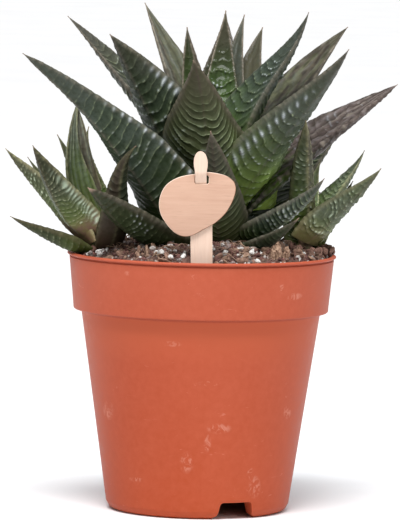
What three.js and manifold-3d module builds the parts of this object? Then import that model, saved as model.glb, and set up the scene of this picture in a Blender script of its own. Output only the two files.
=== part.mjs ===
// Potted haworthia: three rosettes of ridged, keeled leaves in a flared plastic
// nursery pot, with potting mix, and a wooden tag threaded on a flat stick.
// Millimetres, +Z up. The origin is on the pot's axis, on the surface it stands on.
import * as THREE from "three";
import { mergeVertices } from "three/addons/utils/BufferGeometryUtils.js";
import Module from "manifold-3d";

const wasm = await Module();
wasm.setup();

// ---- driving dimensions -------------------------------------------------
const GAP = 0.3; // clearance between touching pieces
const LEAF_GAP = 0.44; // clearance between leaves

const POT = {
  height: 84.8,
  lipRadius: 45.0, // the thin flared lip
  lipThickness: 1.5,
  bandTopRadius: 43.7, // collar under the lip
  bandBottomRadius: 42.1,
  bandBottom: 66.0, // where the collar steps in to the body
  bodyTopRadius: 39.55,
  bodyBottomRadius: 29.9,
  footRadius: 28.1, // outer edge of the flat that it stands on
  footInner: 26.2,
  wall: 1.1,
  floorUnder: 5.0, // the floor is raised inside the foot ring
  floorThickness: 1.2,
  segments: 40,
};
const NOTCH = { azimuths: [-65, 115], topHalf: 4.7, bottomHalf: 6.2, height: 4.9 };
const DRAIN = { radius: 3.4, ring: 17, count: 5 };

const SOIL = {
  edgeHeight: 83.6, // against the pot's wall
  top: [
    [0, 89.4],
    [12, 89.2],
    [22, 88.4],
    [31, 87.0],
    [38, 85.4],
  ],
  segments: 28,
};

const STEMS = {
  // x, y, top z, radius, and the roots: their directions, reach, drop and radius
  main_stem: { x: 6, y: 2, top: 107.5, radius: 5.2, roots: [0.785, 2.356, 3.927, 5.498], reach: 20, drop: 40, rootRadius: 1.9 },
  left_stem: { x: -33, y: -8, top: 93.5, radius: 3.0, roots: [-0.6, 1.1], reach: 9, drop: 24, rootRadius: 1.4 },
  right_stem: { x: 34, y: 2, top: 93.0, radius: 3.0, roots: [2.6, 3.7], reach: 9, drop: 24, rootRadius: 1.4 },
};
const STEM_FOOT = 72; // where a stem gives way to its roots

const STICK = { thickness: 0.9, back: -35.3, lean: -0.0282, bottom: 58 };
const PLATE = { thickness: 0.8, front: -37.3 };

// Leaves. Each row: name, four control points of the midrib curve (base to tip),
// azimuth of the leaf, twist at the base and at the tip, half width, thickness,
// place of the greatest width along the leaf, taper exponent, relative width of
// the base, and the keel's offset across the underside.
const LEAVES = [
  ["main_leaf_01", [-3.17, -4.08, 86.95], [-15.66, -13.12, 114.84], [-35.18, -28.3, 133.74], [-59.08, -33.56, 150.85], 3.7269, -0.6077, 0.0076, 11.8, 8.5, 0.431, 0.994, 1.5, 0.1],
  ["main_leaf_02", [2.2, 3.26, 104.3], [-12.05, 6.07, 125.66], [-28.94, 8.97, 144.79], [-46.05, 11.88, 161.74], 2.822, 0.0332, 0.2059, 11.07, 7.97, 0.219, 1.471, 0.9, 0.1],
  ["main_leaf_03", [2.8, -0.4, 105.79], [-8.91, -3.85, 123.13], [-19.06, -7.7, 141.45], [-31.54, -10.94, 156.79], 3.7836, -0.3071, -0.276, 13.82, 9.95, 0.267, 1.543, 0.9, 0.1],
  ["main_leaf_04", [3.91, 4.16, 106.68], [-0.79, 10.44, 129.54], [-11.42, 25.01, 146.33], [-20.78, 30.05, 166.18], 2.3396, 0.0762, -0.0397, 11.72, 8.44, 0.21, 1.219, 0.9, 0.1],
  ["main_leaf_05", [5.44, 3.92, 108.76], [-1.26, 9.97, 124.62], [-5.24, 14.87, 141.39], [-6.38, 15.08, 158.77], 1.8549, 0.0271, 0.0533, 7.59, 5.47, 0.212, 1.367, 0.9, 0.1],
  ["main_leaf_06", [5.46, 0.07, 103.3], [-4.2, -9.66, 117.61], [0.32, -19.74, 134.61], [-4.03, -28.13, 149.52], 4.4384, -0.0581, -0.0579, 13.95, 10.05, 0.434, 1.008, 0.9, -0.25],
  ["main_leaf_07", [6.54, -6.98, 88.46], [5.36, -17.16, 100.1], [4.47, -24.52, 113.46], [2.03, -29.98, 126.73], 4.7724, -0.001, -0.0002, 9.25, 6.66, 0.208, 1.359, 0.9, 0.1],
  ["main_leaf_08", [5.92, 5, 107.43], [4.32, 15.43, 125.97], [5.6, 25.64, 144.58], [6.46, 31.02, 164.05], 1.5967, 0.0108, 0.0153, 8.44, 6.08, 0.209, 1.29, 0.9, 0.1],
  ["main_leaf_09", [5.17, 6.93, 99.08], [-1.67, 19.57, 120.91], [7.7, 35.37, 140.59], [6.16, 44.97, 162.45], 1.7382, 0.0146, -0.0104, 11.35, 8.18, 0.215, 1.53, 0.9, 0.1],
  ["main_leaf_10", [6.98, 5.88, 103.24], [7.85, 18.91, 122.67], [8.17, 29.85, 143.35], [12.83, 39.93, 162.51], 1.3239, 0.0137, 0.0272, 7.82, 5.63, 0.196, 1.228, 0.9, 0.1],
  ["main_leaf_11", [7.96, 6.6, 99.15], [11.75, 20.81, 118.48], [12.85, 32.28, 140.12], [19.12, 45.02, 158.22], 1.1674, -0.0066, -0.0505, 9.26, 6.67, 0.221, 1.494, 0.9, 0.1],
  ["main_leaf_12", [7.85, 2.76, 112.74], [8.31, 3.07, 134.89], [28.48, 8.72, 146.42], [33.86, 10.03, 164.64], 0.3911, -0.2497, -0.0008, 10.87, 7.83, 0.233, 1.234, 0.9, 0.1],
  ["main_leaf_13", [9.65, 5.42, 102.07], [18.87, 13.24, 124.5], [32.08, 22.67, 143.55], [47.56, 31.88, 159.3], 0.7529, -0.0918, -0.1492, 10.81, 7.78, 0.236, 1.516, 0.9, 0.1],
  ["main_leaf_14", [9.42, -1.65, 100.29], [17.67, -10.26, 123.42], [35.76, -25.12, 135.91], [46.11, -35.85, 154.25], -0.8188, 0.1142, 0.0175, 12.12, 8.72, 0.211, 1.293, 1.202, 0.1],
  ["main_leaf_15", [11.67, 3.98, 98.78], [26.34, 5.16, 117.04], [46.36, 7.13, 128.66], [63.81, 9.21, 141.27], 0.3356, -0.1513, -0.2478, 11.63, 8.37, 0.245, 1.564, 0.9, 0.1],
  ["main_leaf_16", [12.68, -4.03, 90.27], [22.67, -12.62, 96.02], [32.66, -21.09, 101.88], [39.28, -28.04, 111.95], -0.7348, -0.0493, 0.1476, 7.09, 5.1, 0.216, 1.524, 0.898, 0.1],
  ["main_leaf_17", [11.96, -6.03, 84.93], [19.05, -15.64, 88.24], [25.72, -24.86, 92.85], [31.19, -33, 99.28], -0.9321, 0.0012, 0.0028, 6.07, 4.37, 0.201, 1.263, 0.9, 0.1],
  ["main_leaf_18", [-0.56, -4.16, 86.65], [-16.11, -16.78, 87.48], [-28.2, -25.21, 100.97], [-37.1, -39.12, 108.18], 3.8958, 0.0777, -0.1998, 9.52, 6.85, 0.227, 2.274, 0.9, 0.1],
  ["main_leaf_19", [7.94, 9.76, 89], [11.52, 23.31, 100.68], [14.94, 36.16, 113.06], [17.46, 45.5, 127.44], 1.3265, 0, 0, 10, 7.2, 0.2, 1.25, 0.9, 0.1],
  ["main_leaf_20", [11.95, 7.35, 90], [24.82, 18.61, 101.15], [37.24, 29.45, 113.08], [47.1, 38, 127.38], 0.733, 0, 0, 10, 7.2, 0.2, 1.25, 0.9, 0.1],
  ["main_leaf_21", [3.53, 9.61, 88], [-1.82, 23.12, 98.96], [-6.96, 35.98, 110.65], [-10.96, 45.5, 124.51], 1.885, 0, 0, 10, 7.2, 0.2, 1.25, 0.9, 0.1],
  ["main_leaf_22", [-0.13, 7.14, 90], [-10.78, 17.72, 98.81], [-20.96, 27.91, 108.42], [-28.69, 36, 120.61], 2.4435, 0, 0, 10, 7.2, 0.2, 1.25, 0.9, 0.1],
  ["main_leaf_23", [-2.34, 5.37, 87], [-12.97, 10.53, 89.08], [-22.94, 15.51, 93.04], [-31.68, 20, 98.66], 2.7576, 0, 0, 8, 5.76, 0.2, 1.25, 0.9, 0.1],
  ["main_leaf_24", [10.5, 9.79, 87], [16.2, 20.09, 90.14], [21.48, 29.68, 95.11], [26.03, 38, 101.6], 1.0472, 0, 0, 8, 5.76, 0.2, 1.25, 0.9, 0.1],
  ["left_leaf_01", [-36.85, -9.1, 87.44], [-44.26, -8.01, 100.01], [-56.33, -7.47, 108.37], [-65.21, -6.51, 118.47], 3.4199, -0.093, -0.2252, 8.3, 5.97, 0.209, 1.489, 0.906, 0.1],
  ["left_leaf_02", [-35.6, -6.5, 91.03], [-44.5, 0.4, 97.53], [-52.2, 6.67, 105.68], [-58.55, 12, 114.67], 2.617, 0.0001, 0.0013, 5.01, 3.61, 0.2, 1.252, 0.9, 0.1],
  ["left_leaf_03", [-35.11, -10.13, 89.97], [-43.72, -17, 98.75], [-50.25, -22.44, 109.7], [-55.57, -27.13, 120.79], 3.933, -0.0444, -0.1097, 8.92, 6.42, 0.217, 1.406, 0.9, 0.1],
  ["left_leaf_04", [-34.72, -5.54, 92.42], [-39.77, 0.87, 101.92], [-43.14, 5.66, 113.04], [-48.8, 9.92, 122.46], 2.181, -0.0055, -0.0279, 4.79, 3.45, 0.197, 1.207, 0.9, 0.1],
  ["left_leaf_05", [-34.28, -6.47, 95.02], [-44.12, -0.64, 106.82], [-42.16, -6.8, 121.14], [-41.97, -5.83, 134.17], 2.2667, 0.0096, 0.0359, 7.4, 5.33, 0.206, 1.763, 0.9, 0.1],
  ["left_leaf_06", [-31.7, -6.48, 92.7], [-34.25, 1.17, 103.18], [-41.04, 7.18, 113.82], [-38.38, 13.79, 125.1], 0.8624, -0.0241, 0.0406, 5.12, 3.69, 0.2, 1.075, 0.9, 0.1],
  ["left_leaf_07", [-30.79, -11.33, 86.8], [-25.77, -21.47, 95.89], [-30.77, -20.99, 112.86], [-21.96, -28.64, 121.32], -0.9859, 0.0012, 0.0852, 5.72, 4.12, 0.199, 1.366, 0.9, 0.1],
  ["left_leaf_08", [-37.63, -9.88, 85.45], [-46.08, -12.13, 89.74], [-55.28, -14.4, 92.38], [-62.94, -16.75, 96.93], 3.528, -0.0534, -0.0792, 6.03, 4.34, 0.213, 1.351, 0.9, 0.1],
  ["left_leaf_09", [-33.69, -4.06, 87], [-37.2, 5.76, 90.22], [-40.65, 14.62, 95.2], [-43.82, 22, 101.64], 1.7453, 0, 0, 6, 4.32, 0.2, 1.25, 0.9, 0.1],
  ["left_leaf_10", [-30.71, -4.72, 88], [-31.69, 3.18, 91.34], [-33.48, 9.88, 96.08], [-35.96, 15, 101.92], 0.9599, 0, 0, 6, 4.32, 0.2, 1.25, 0.9, 0.1],
  ["right_leaf_01", [33.83, 0.01, 91.93], [31.13, -5.49, 105.48], [33.2, -8.22, 120.54], [33.02, -19.45, 130.27], -1.6583, 0.0072, -0.0049, 4.44, 3.2, 0.208, 1.741, 0.9, -0.5],
  ["right_leaf_02", [35, 3.73, 90.99], [35.86, 7.79, 98.97], [35.97, 10.83, 107.51], [38.92, 13.83, 115.02], 1.0451, 0.0054, 0.0221, 4.18, 3.01, 0.196, 1.196, 0.9, 0.1],
  ["right_leaf_03", [36.85, 2.93, 93.32], [40.51, 4.51, 103.4], [49.37, 7.16, 109.98], [53.26, 8.22, 119.28], 0.3156, -0.1657, 0.0376, 7.02, 5.06, 0.215, 1.126, 0.9, 0.1],
  ["right_leaf_04", [34.37, -1.38, 89.19], [41.18, -3.63, 99], [51.38, -7.14, 105.25], [58.35, -7.73, 114.33], -1.4605, -0.2666, -0.0262, 7.03, 5.06, 0.185, 1.171, 1.046, 0.1],
  ["right_leaf_05", [36.43, 3.76, 88], [41.61, 9.03, 94.25], [46.21, 13.87, 101.19], [49.96, 18, 108.41], 0.6283, 0, 0, 5, 3.6, 0.2, 1.25, 0.9, 0.1],
  ["right_leaf_06", [35.63, 5.65, 87], [37.4, 12.54, 91.49], [38.59, 18.1, 97.36], [39.13, 22, 104.26], 1.1519, 0, 0, 6, 4.32, 0.2, 1.25, 0.9, 0.1],
  ["right_leaf_07", [32.76, 5.8, 87], [31.08, 12.65, 91.15], [29.84, 18.16, 96.73], [29.1, 22, 103.39], 1.885, 0, 0, 5.5, 3.96, 0.2, 1.25, 0.9, 0.1],
];
const LEAF_SIDES = 8;
const LEAF_STATIONS = 6;
const LEAF_DISH = 0.12; // how far the upper face is hollowed, in leaf thicknesses
const LEAF_TIP = 0.25;

// ---- helpers --------------------------------------------------------------
function solid(geometry) {
  let g = geometry.index ? geometry.toNonIndexed() : geometry.clone();
  const bare = new THREE.BufferGeometry();
  bare.setAttribute("position", g.getAttribute("position").clone());
  const merged = mergeVertices(bare, 1e-4);
  return new wasm.Manifold(
    new wasm.Mesh({
      numProp: 3,
      vertProperties: new Float32Array(merged.getAttribute("position").array),
      triVerts: new Uint32Array(merged.index.array),
    }),
  );
}

function geometryOf(manifold) {
  const m = manifold.getMesh();
  const g = new THREE.BufferGeometry();
  const xyz = new Float32Array(m.numVert * 3);
  for (let i = 0; i < m.numVert; i++)
    for (let k = 0; k < 3; k++) xyz[3 * i + k] = m.vertProperties[i * m.numProp + k];
  g.setAttribute("position", new THREE.BufferAttribute(xyz, 3));
  g.setIndex(new THREE.BufferAttribute(new Uint32Array(m.triVerts), 1));
  g.computeVertexNormals();
  return g;
}

// The largest single body of a cut piece.
function largest(manifold) {
  const parts = manifold.decompose();
  return parts.reduce((a, b) => (b.volume() > a.volume() ? b : a));
}

function outward(m) {
  if (m.volume() < 0) throw new Error("a piece is inside out");
  return m;
}

function lathe(points, segments) {
  const g = new THREE.LatheGeometry(
    points.map((p) => new THREE.Vector2(p[0], p[1])),
    segments,
  );
  g.rotateX(Math.PI / 2);
  return solid(g);
}

// ---- leaves ---------------------------------------------------------------
function leafProfile(t, peak, taper, base) {
  if (t < peak) return base + (1 - base) * Math.sin(((t / peak) * Math.PI) / 2);
  return 1 - Math.pow((t - peak) / (1 - peak), taper);
}

function leafSolid(row, grow) {
  const [, p0, p1, p2, p3, azimuth, twist0, twist1, half, thick, peak, taper, base, keel] = row;
  const curve = new THREE.CubicBezierCurve3(
    new THREE.Vector3(...p0),
    new THREE.Vector3(...p1),
    new THREE.Vector3(...p2),
    new THREE.Vector3(...p3),
  );
  const inwardUp = new THREE.Vector3(-Math.cos(azimuth), -Math.sin(azimuth), 1).normalize();
  const g = new THREE.CylinderGeometry(1, 1, 1, LEAF_SIDES, LEAF_STATIONS);
  const pos = g.getAttribute("position");
  const v = new THREE.Vector3();
  for (let i = 0; i < pos.count; i++) {
    v.fromBufferAttribute(pos, i);
    const t = Math.min(1, Math.max(0, v.y + 0.5));
    const radial = Math.hypot(v.x, v.z) > 0.5 ? 1 : 0;
    const s = radial * Math.round(v.x * 1e6) * 1e-6;
    const c = radial * Math.round(v.z * 1e6) * 1e-6;
    const centre = curve.getPoint(t);
    const along = curve.getTangent(t);
    const across = new THREE.Vector3().crossVectors(along, inwardUp).normalize();
    const up = new THREE.Vector3().crossVectors(across, along);
    const twist = twist0 + (twist1 - twist0) * t;
    const side = across.clone().multiplyScalar(Math.cos(twist)).addScaledVector(up, Math.sin(twist));
    const face = across.clone().multiplyScalar(-Math.sin(twist)).addScaledVector(up, Math.cos(twist));
    const f = leafProfile(t, peak, taper, base);
    const w = Math.max(half * f, LEAF_TIP) + grow;
    const full = 0.5 + 0.5 * Math.sin((Math.min(1, t / 0.3) * Math.PI) / 2); // thinner sheath at the base
    const th = Math.max(thick * f * full, LEAF_TIP);
    let x = s;
    let z;
    if (c >= 0) z = -LEAF_DISH * (1 - s * s) * radial;
    else {
      x = s + keel * (1 - s * s);
      z = -(0.55 * (1 - Math.abs(s)) + 0.45 * Math.sqrt(Math.max(0, 1 - s * s)));
    }
    if (!radial) z = -0.4;
    let lift = th * (z + 0.4);
    if (radial) lift += grow * (c > 1e-6 ? 1 : c < -1e-6 ? -1 : 0);
    centre.addScaledVector(side, w * x).addScaledVector(face, lift);
    if (t === 0) centre.addScaledVector(along, -grow);
    if (t === 1) centre.addScaledVector(along, grow);
    pos.setXYZ(i, centre.x, centre.y, centre.z);
  }
  g.deleteAttribute("normal");
  g.deleteAttribute("uv");
  return outward(solid(g));
}

// ---- pot -------------------------------------------------------------------
function innerRadius(z) {
  const p = POT;
  if (z >= p.bandBottom + 1.6)
    return p.bandBottomRadius - p.wall + ((p.bandTopRadius - p.bandBottomRadius) * (z - p.bandBottom)) / (p.height - p.lipThickness - p.bandBottom);
  return p.bodyBottomRadius - p.wall + ((p.bodyTopRadius - p.bodyBottomRadius) * z) / p.bandBottom;
}

function potSolid() {
  const p = POT;
  const body = (z) => p.bodyBottomRadius + ((p.bodyTopRadius - p.bodyBottomRadius) * z) / p.bandBottom;
  const top = p.height - p.lipThickness;
  const floorTop = p.floorUnder + p.floorThickness;
  const profile = [
    [0, p.floorUnder],
    [p.footInner - 1.2, p.floorUnder],
    [p.footInner, 0],
    [p.footRadius, 0],
    [p.footRadius + 1.2, 0.7],
    [body(2.4), 2.4],
    [body(p.bandBottom - 1.0), p.bandBottom - 1.0],
    [p.bodyTopRadius + 0.5, p.bandBottom - 0.1],
    [p.bandBottomRadius - 0.9, p.bandBottom],
    [p.bandBottomRadius - 0.1, p.bandBottom + 0.9],
    [p.bandTopRadius, top],
    [p.lipRadius - 0.3, top],
    [p.lipRadius, top + 0.4],
    [p.lipRadius, p.height - 0.4],
    [p.lipRadius - 0.4, p.height],
    [innerRadius(p.height), p.height],
    [innerRadius(p.bandBottom + 1.6), p.bandBottom + 1.6],
    [innerRadius(p.bandBottom), p.bandBottom],
    [innerRadius(floorTop + 2.2), floorTop + 2.2],
    [innerRadius(floorTop) - 1.6, floorTop],
    [0, floorTop],
  ];
  let pot = outward(lathe(profile, p.segments));
  for (let i = 0; i <= DRAIN.count; i++) {
    const a = (i / DRAIN.count) * 2 * Math.PI;
    const hole = new THREE.CylinderGeometry(DRAIN.radius, DRAIN.radius, 8, 12);
    hole.rotateX(Math.PI / 2);
    if (i < DRAIN.count) hole.translate(DRAIN.ring * Math.cos(a), DRAIN.ring * Math.sin(a), p.floorUnder);
    else hole.translate(0, 0, p.floorUnder);
    pot = pot.subtract(solid(hole));
  }
  for (const azimuth of NOTCH.azimuths) {
    const n = NOTCH;
    const s = new THREE.Shape();
    s.moveTo(-n.bottomHalf - 1.6, -1);
    s.lineTo(n.bottomHalf + 1.6, -1);
    s.lineTo(n.bottomHalf + 1.0, 0.2);
    s.lineTo(n.bottomHalf - 0.4, 1.3);
    s.lineTo(n.topHalf + 0.25, n.height - 0.7);
    s.lineTo(n.topHalf - 0.5, n.height);
    s.lineTo(-n.topHalf + 0.5, n.height);
    s.lineTo(-n.topHalf - 0.25, n.height - 0.7);
    s.lineTo(-n.bottomHalf + 0.4, 1.3);
    s.lineTo(-n.bottomHalf - 1.0, 0.2);
    const cut = new THREE.ExtrudeGeometry(s, { depth: 9, bevelEnabled: false });
    cut.rotateX(Math.PI / 2); // depth now runs towards -Y
    cut.translate(0, -22.6, 0);
    cut.rotateZ(((azimuth + 90) * Math.PI) / 180);
    pot = pot.subtract(solid(cut));
  }
  return pot;
}

// ---- potting mix -------------------------------------------------------------
function soilProfile(grow) {
  const p = POT;
  const floorTop = p.floorUnder + p.floorThickness + GAP;
  const inner = (z) => innerRadius(z) - GAP;
  return [
    [0, floorTop],
    [inner(floorTop) - 1.9, floorTop],
    [inner(floorTop + 2.2), floorTop + 2.2],
    [inner(p.bandBottom), p.bandBottom],
    [inner(p.bandBottom + 1.6), p.bandBottom + 1.6],
    [inner(SOIL.edgeHeight), SOIL.edgeHeight + grow],
    ...SOIL.top
      .slice()
      .reverse()
      .map(([r, z]) => [r, z + grow]),
  ];
}

// ---- stems and roots ---------------------------------------------------------
function rootSolid(x, y, reach, direction, length, radius, grow) {
  const d = new THREE.Vector3(Math.cos(direction), Math.sin(direction), 0);
  const start = new THREE.Vector3(x, y, STEM_FOOT + 4);
  const curve = new THREE.CubicBezierCurve3(
    start,
    start.clone().addScaledVector(d, reach * 0.35).add(new THREE.Vector3(0, 0, -6)),
    start.clone().addScaledVector(d, reach * 0.9).add(new THREE.Vector3(0, 0, -length * 0.45)),
    start.clone().addScaledVector(d, reach).add(new THREE.Vector3(0, 0, -length)),
  );
  const g = new THREE.CylinderGeometry(1, 1, 1, 5, 4);
  const pos = g.getAttribute("position");
  const v = new THREE.Vector3();
  const reference = new THREE.Vector3(-d.y, d.x, 0);
  for (let i = 0; i < pos.count; i++) {
    v.fromBufferAttribute(pos, i);
    const t = Math.min(1, Math.max(0, v.y + 0.5));
    const at = curve.getPoint(t);
    const along = curve.getTangent(t);
    const across = reference.clone().addScaledVector(along, -reference.dot(along)).normalize();
    const up = new THREE.Vector3().crossVectors(across, along);
    const r = radius * (1 - 0.62 * t) + grow;
    if (t === 1) at.addScaledVector(along, grow);
    at.addScaledVector(across, v.x * r).addScaledVector(up, v.z * r);
    pos.setXYZ(i, at.x, at.y, at.z);
  }
  return outward(solid(g));
}

function stemSolid(s, grow) {
  const r = s.radius + grow;
  const trunk = lathe(
    [
      [0, STEM_FOOT - grow],
      [r * 0.72, STEM_FOOT - grow],
      [r, STEM_FOOT + 4],
      [r, s.top - 9],
      [r * 0.82, s.top - 3],
      [r * 0.35, s.top + grow],
      [0, s.top + grow],
    ],
    8,
  ).translate([s.x, s.y, 0]);
  let all = outward(trunk);
  for (const direction of s.roots)
    all = all.add(rootSolid(s.x, s.y, s.reach, direction, s.drop, s.rootRadius, grow));
  return all;
}

// ---- tag ---------------------------------------------------------------------
// The stick's front outline in X and Z: round head, narrow neck, wide leg, point.
function stickOutline() {
  const x = (v, z) => v + STICK.lean * (z - 84);
  const s = new THREE.Shape();
  const right = [
    [0.0, STICK.bottom],
    [2.6, STICK.bottom + 7],
    [3.55, STICK.bottom + 12],
    [3.55, 102],
    [3.2, 104.2],
    [2.3, 106.2],
    [1.9, 107.6],
    [1.9, 113.4],
    [2.05, 114.7],
    [2.4, 116.0],
    [2.5, 117.4],
    [2.3, 118.8],
    [1.75, 120.0],
    [0.9, 120.8],
  ];
  s.moveTo(x(right[0][0], right[0][1]), right[0][1]);
  for (const [a, z] of right.slice(1)) s.lineTo(x(a, z), z);
  s.lineTo(x(0, 121.0), 121.0);
  for (const [a, z] of right.slice(1).reverse()) s.lineTo(x(-a, z), z);
  return s;
}

// The stick's side outline in Y and Z: straight leg behind the tag, then a bend
// forward through the slot, so that the head lies in front of the tag.
function stickSide() {
  const b = STICK.back;
  const t = STICK.thickness;
  const path = [
    [b, 40],
    [b, 108.9],
    [b - 0.1, 109.3],
    [b - 2.25, 112.8],
    [b - 2.6, 113.6],
    [b - 2.75, 130],
  ];
  const s = new THREE.Shape();
  s.moveTo(path[0][0], path[0][1]);
  for (const [y, z] of path.slice(1)) s.lineTo(y, z);
  for (const [y, z] of path.slice().reverse()) s.lineTo(y - t, z);
  return s;
}

function stickSolid() {
  const front = new THREE.ExtrudeGeometry(stickOutline(), { depth: 30, bevelEnabled: false });
  front.rotateX(Math.PI / 2); // the outline's height is now Z, its depth runs towards -Y
  front.translate(0, -22, 0);
  const side = new THREE.ExtrudeGeometry(stickSide(), { depth: 30, bevelEnabled: false });
  // (y, z, depth) to (x = depth, y, z)
  side.applyMatrix4(new THREE.Matrix4().set(0, 0, 1, -15, 1, 0, 0, 0, 0, 1, 0, 0, 0, 0, 0, 1));
  return outward(solid(front).intersect(outward(solid(side))));
}

const PLATE_OUTLINE = [
  [-2.71, 113.18],
  [-7.2, 112.22],
  [-10.4, 110.68],
  [-12.46, 108.7],
  [-13.75, 105.9],
  [-14.13, 103.0],
  [-13.52, 99.95],
  [-11.92, 97.23],
  [-9.6, 94.6],
  [-7.29, 93.15],
  [-4.9, 92.85],
  [-2.6, 93.5],
  [0.03, 95.0],
  [3.83, 97.2],
  [6.91, 100.0],
  [8.97, 103.2],
  [10.32, 106.7],
  [10.53, 109.3],
  [9.6, 111.3],
  [7.4, 112.7],
  [4.6, 113.45],
  [1.0, 113.8],
];
const SLOT = { centre: -0.66, half: 2.3, bottom: 109.2, top: 112.95 };

function plateSolid() {
  const outline = new THREE.SplineCurve([...PLATE_OUTLINE, PLATE_OUTLINE[0]].map(([x, z]) => new THREE.Vector2(x, z)));
  const s = new THREE.Shape(outline.getPoints(33).slice(0, -1));
  const hole = new THREE.Path();
  const { centre, half, bottom, top } = SLOT;
  hole.moveTo(centre - half, bottom + 0.4);
  hole.lineTo(centre - half, top - 0.5);
  hole.lineTo(centre - half + 0.5, top);
  hole.lineTo(centre + half - 0.5, top);
  hole.lineTo(centre + half, top - 0.5);
  hole.lineTo(centre + half, bottom + 0.4);
  hole.lineTo(centre + half - 0.4, bottom);
  hole.lineTo(centre - half + 0.4, bottom);
  s.holes.push(hole);
  const g = new THREE.ExtrudeGeometry(s, { depth: PLATE.thickness, bevelEnabled: false });
  g.rotateX(Math.PI / 2);
  g.translate(0, PLATE.front + PLATE.thickness, 0);
  return outward(solid(g));
}

// ---- assembly ----------------------------------------------------------------
const group = new THREE.Group();

function place(name, manifold, colour, roughness) {
  const mesh = new THREE.Mesh(
    geometryOf(manifold),
    new THREE.MeshStandardMaterial({ color: colour, roughness, metalness: 0 }),
  );
  mesh.name = name;
  group.add(mesh);
}

const pot = potSolid();
place("pot", pot, 0xc8614a, 0.45);

const stick = stickSolid();
const plate = plateSolid();
place("label_stake", stick, 0xf3dcc6, 0.7);
place("label_plate", plate, 0xe2b89c, 0.7);

const stems = {};
for (const [name, s] of Object.entries(STEMS)) {
  stems[name] = stemSolid(s, 0);
  place(name, stems[name], 0x8a8a5c, 0.7);
}

// The mix is pressed round the stems, the roots and the stick.
let soil = outward(lathe(soilProfile(0), SOIL.segments));
for (const s of Object.values(STEMS)) soil = soil.subtract(stemSolid(s, GAP));
{
  const socket = new THREE.BoxGeometry(2 * 3.55 + 1.0 + 2 * GAP, STICK.thickness + 2 * GAP, 60);
  socket.translate(0.3, STICK.back - STICK.thickness / 2, STICK.bottom - GAP + 30);
  soil = soil.subtract(solid(socket));
}
soil = largest(soil);
place("soil", soil, 0x46352a, 0.95);

// Leaves: each one keeps clear of the stems, the mix and the leaves before it.
const soilGrown = outward(lathe(soilProfile(GAP), SOIL.segments));
const stemsGrown = Object.values(STEMS).map((s) => stemSolid(s, GAP));
const rimGrown = outward(
  lathe(
    [
      [innerRadius(POT.height) - GAP, POT.height - 8],
      [POT.lipRadius + GAP, POT.height - 8],
      [POT.lipRadius + GAP, POT.height + GAP],
      [innerRadius(POT.height) - GAP, POT.height + GAP],
      [innerRadius(POT.height) - GAP, POT.height - 8],
    ],
    POT.segments,
  ),
);
const grownBefore = [];
for (const row of LEAVES) {
  let leaf = leafSolid(row, 0);
  leaf = leaf.subtract(soilGrown).subtract(rimGrown);
  for (const g of stemsGrown) leaf = leaf.subtract(g);
  for (const g of grownBefore) leaf = leaf.subtract(g);
  leaf = largest(leaf);
  place(row[0], leaf, 0x3d4f38, 0.5);
  grownBefore.push(leafSolid(row, LEAF_GAP));
}

export default group;
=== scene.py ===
import math

import bmesh
import bpy
import numpy as np
from mathutils import Matrix, Vector


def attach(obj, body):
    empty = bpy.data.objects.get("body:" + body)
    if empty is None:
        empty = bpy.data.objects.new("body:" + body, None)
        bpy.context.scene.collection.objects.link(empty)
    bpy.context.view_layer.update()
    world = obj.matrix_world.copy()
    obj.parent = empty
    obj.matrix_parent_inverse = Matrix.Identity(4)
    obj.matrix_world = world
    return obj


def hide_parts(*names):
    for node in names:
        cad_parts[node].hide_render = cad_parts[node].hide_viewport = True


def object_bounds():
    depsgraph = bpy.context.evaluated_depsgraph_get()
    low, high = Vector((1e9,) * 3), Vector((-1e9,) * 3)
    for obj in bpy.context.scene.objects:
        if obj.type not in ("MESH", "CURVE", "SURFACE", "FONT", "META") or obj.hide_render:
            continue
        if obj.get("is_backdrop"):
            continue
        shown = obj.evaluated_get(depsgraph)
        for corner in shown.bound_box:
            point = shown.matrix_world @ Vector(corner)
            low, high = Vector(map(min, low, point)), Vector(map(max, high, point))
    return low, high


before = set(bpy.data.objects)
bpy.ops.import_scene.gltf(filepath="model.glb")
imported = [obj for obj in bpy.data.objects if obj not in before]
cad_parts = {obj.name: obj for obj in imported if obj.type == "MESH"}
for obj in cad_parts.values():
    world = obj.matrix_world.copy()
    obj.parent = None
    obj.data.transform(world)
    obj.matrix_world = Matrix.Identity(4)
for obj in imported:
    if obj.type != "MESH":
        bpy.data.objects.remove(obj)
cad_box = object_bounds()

MM = 0.001
scene = bpy.context.scene
scene.view_settings.view_transform = "Standard"
scene.view_settings.look = "None"

# ---------------------------------------------------------------------------
# numbers shared with the CAD model, in millimetres
# ---------------------------------------------------------------------------
GAP = 0.3
WALL = 1.1
BODY_BOTTOM, BODY_TOP, BAND_BOTTOM = 29.9, 39.55, 66.0
BAND_BOTTOM_R, BAND_TOP_R = 42.1, 43.7
HEIGHT, LIP_T, LIP_R = 84.8, 1.5, 45.0
FLOOR_UNDER, FLOOR_T = 5.0, 1.2
SOIL_EDGE = 83.6
SOIL_TOP = [(0, 89.4), (12, 89.2), (22, 88.4), (31, 87.0), (38, 85.4)]
STEMS = {
    "main_stem": (6, 2, 107.5, 5.2, [0.785, 2.356, 3.927, 5.498], 20, 40, 1.9),
    "left_stem": (-33, -8, 93.5, 3.0, [-0.6, 1.1], 9, 24, 1.4),
    "right_stem": (34, 2, 93.0, 3.0, [2.6, 3.7], 9, 24, 1.4),
}
STEM_FOOT = 72.0

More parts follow.
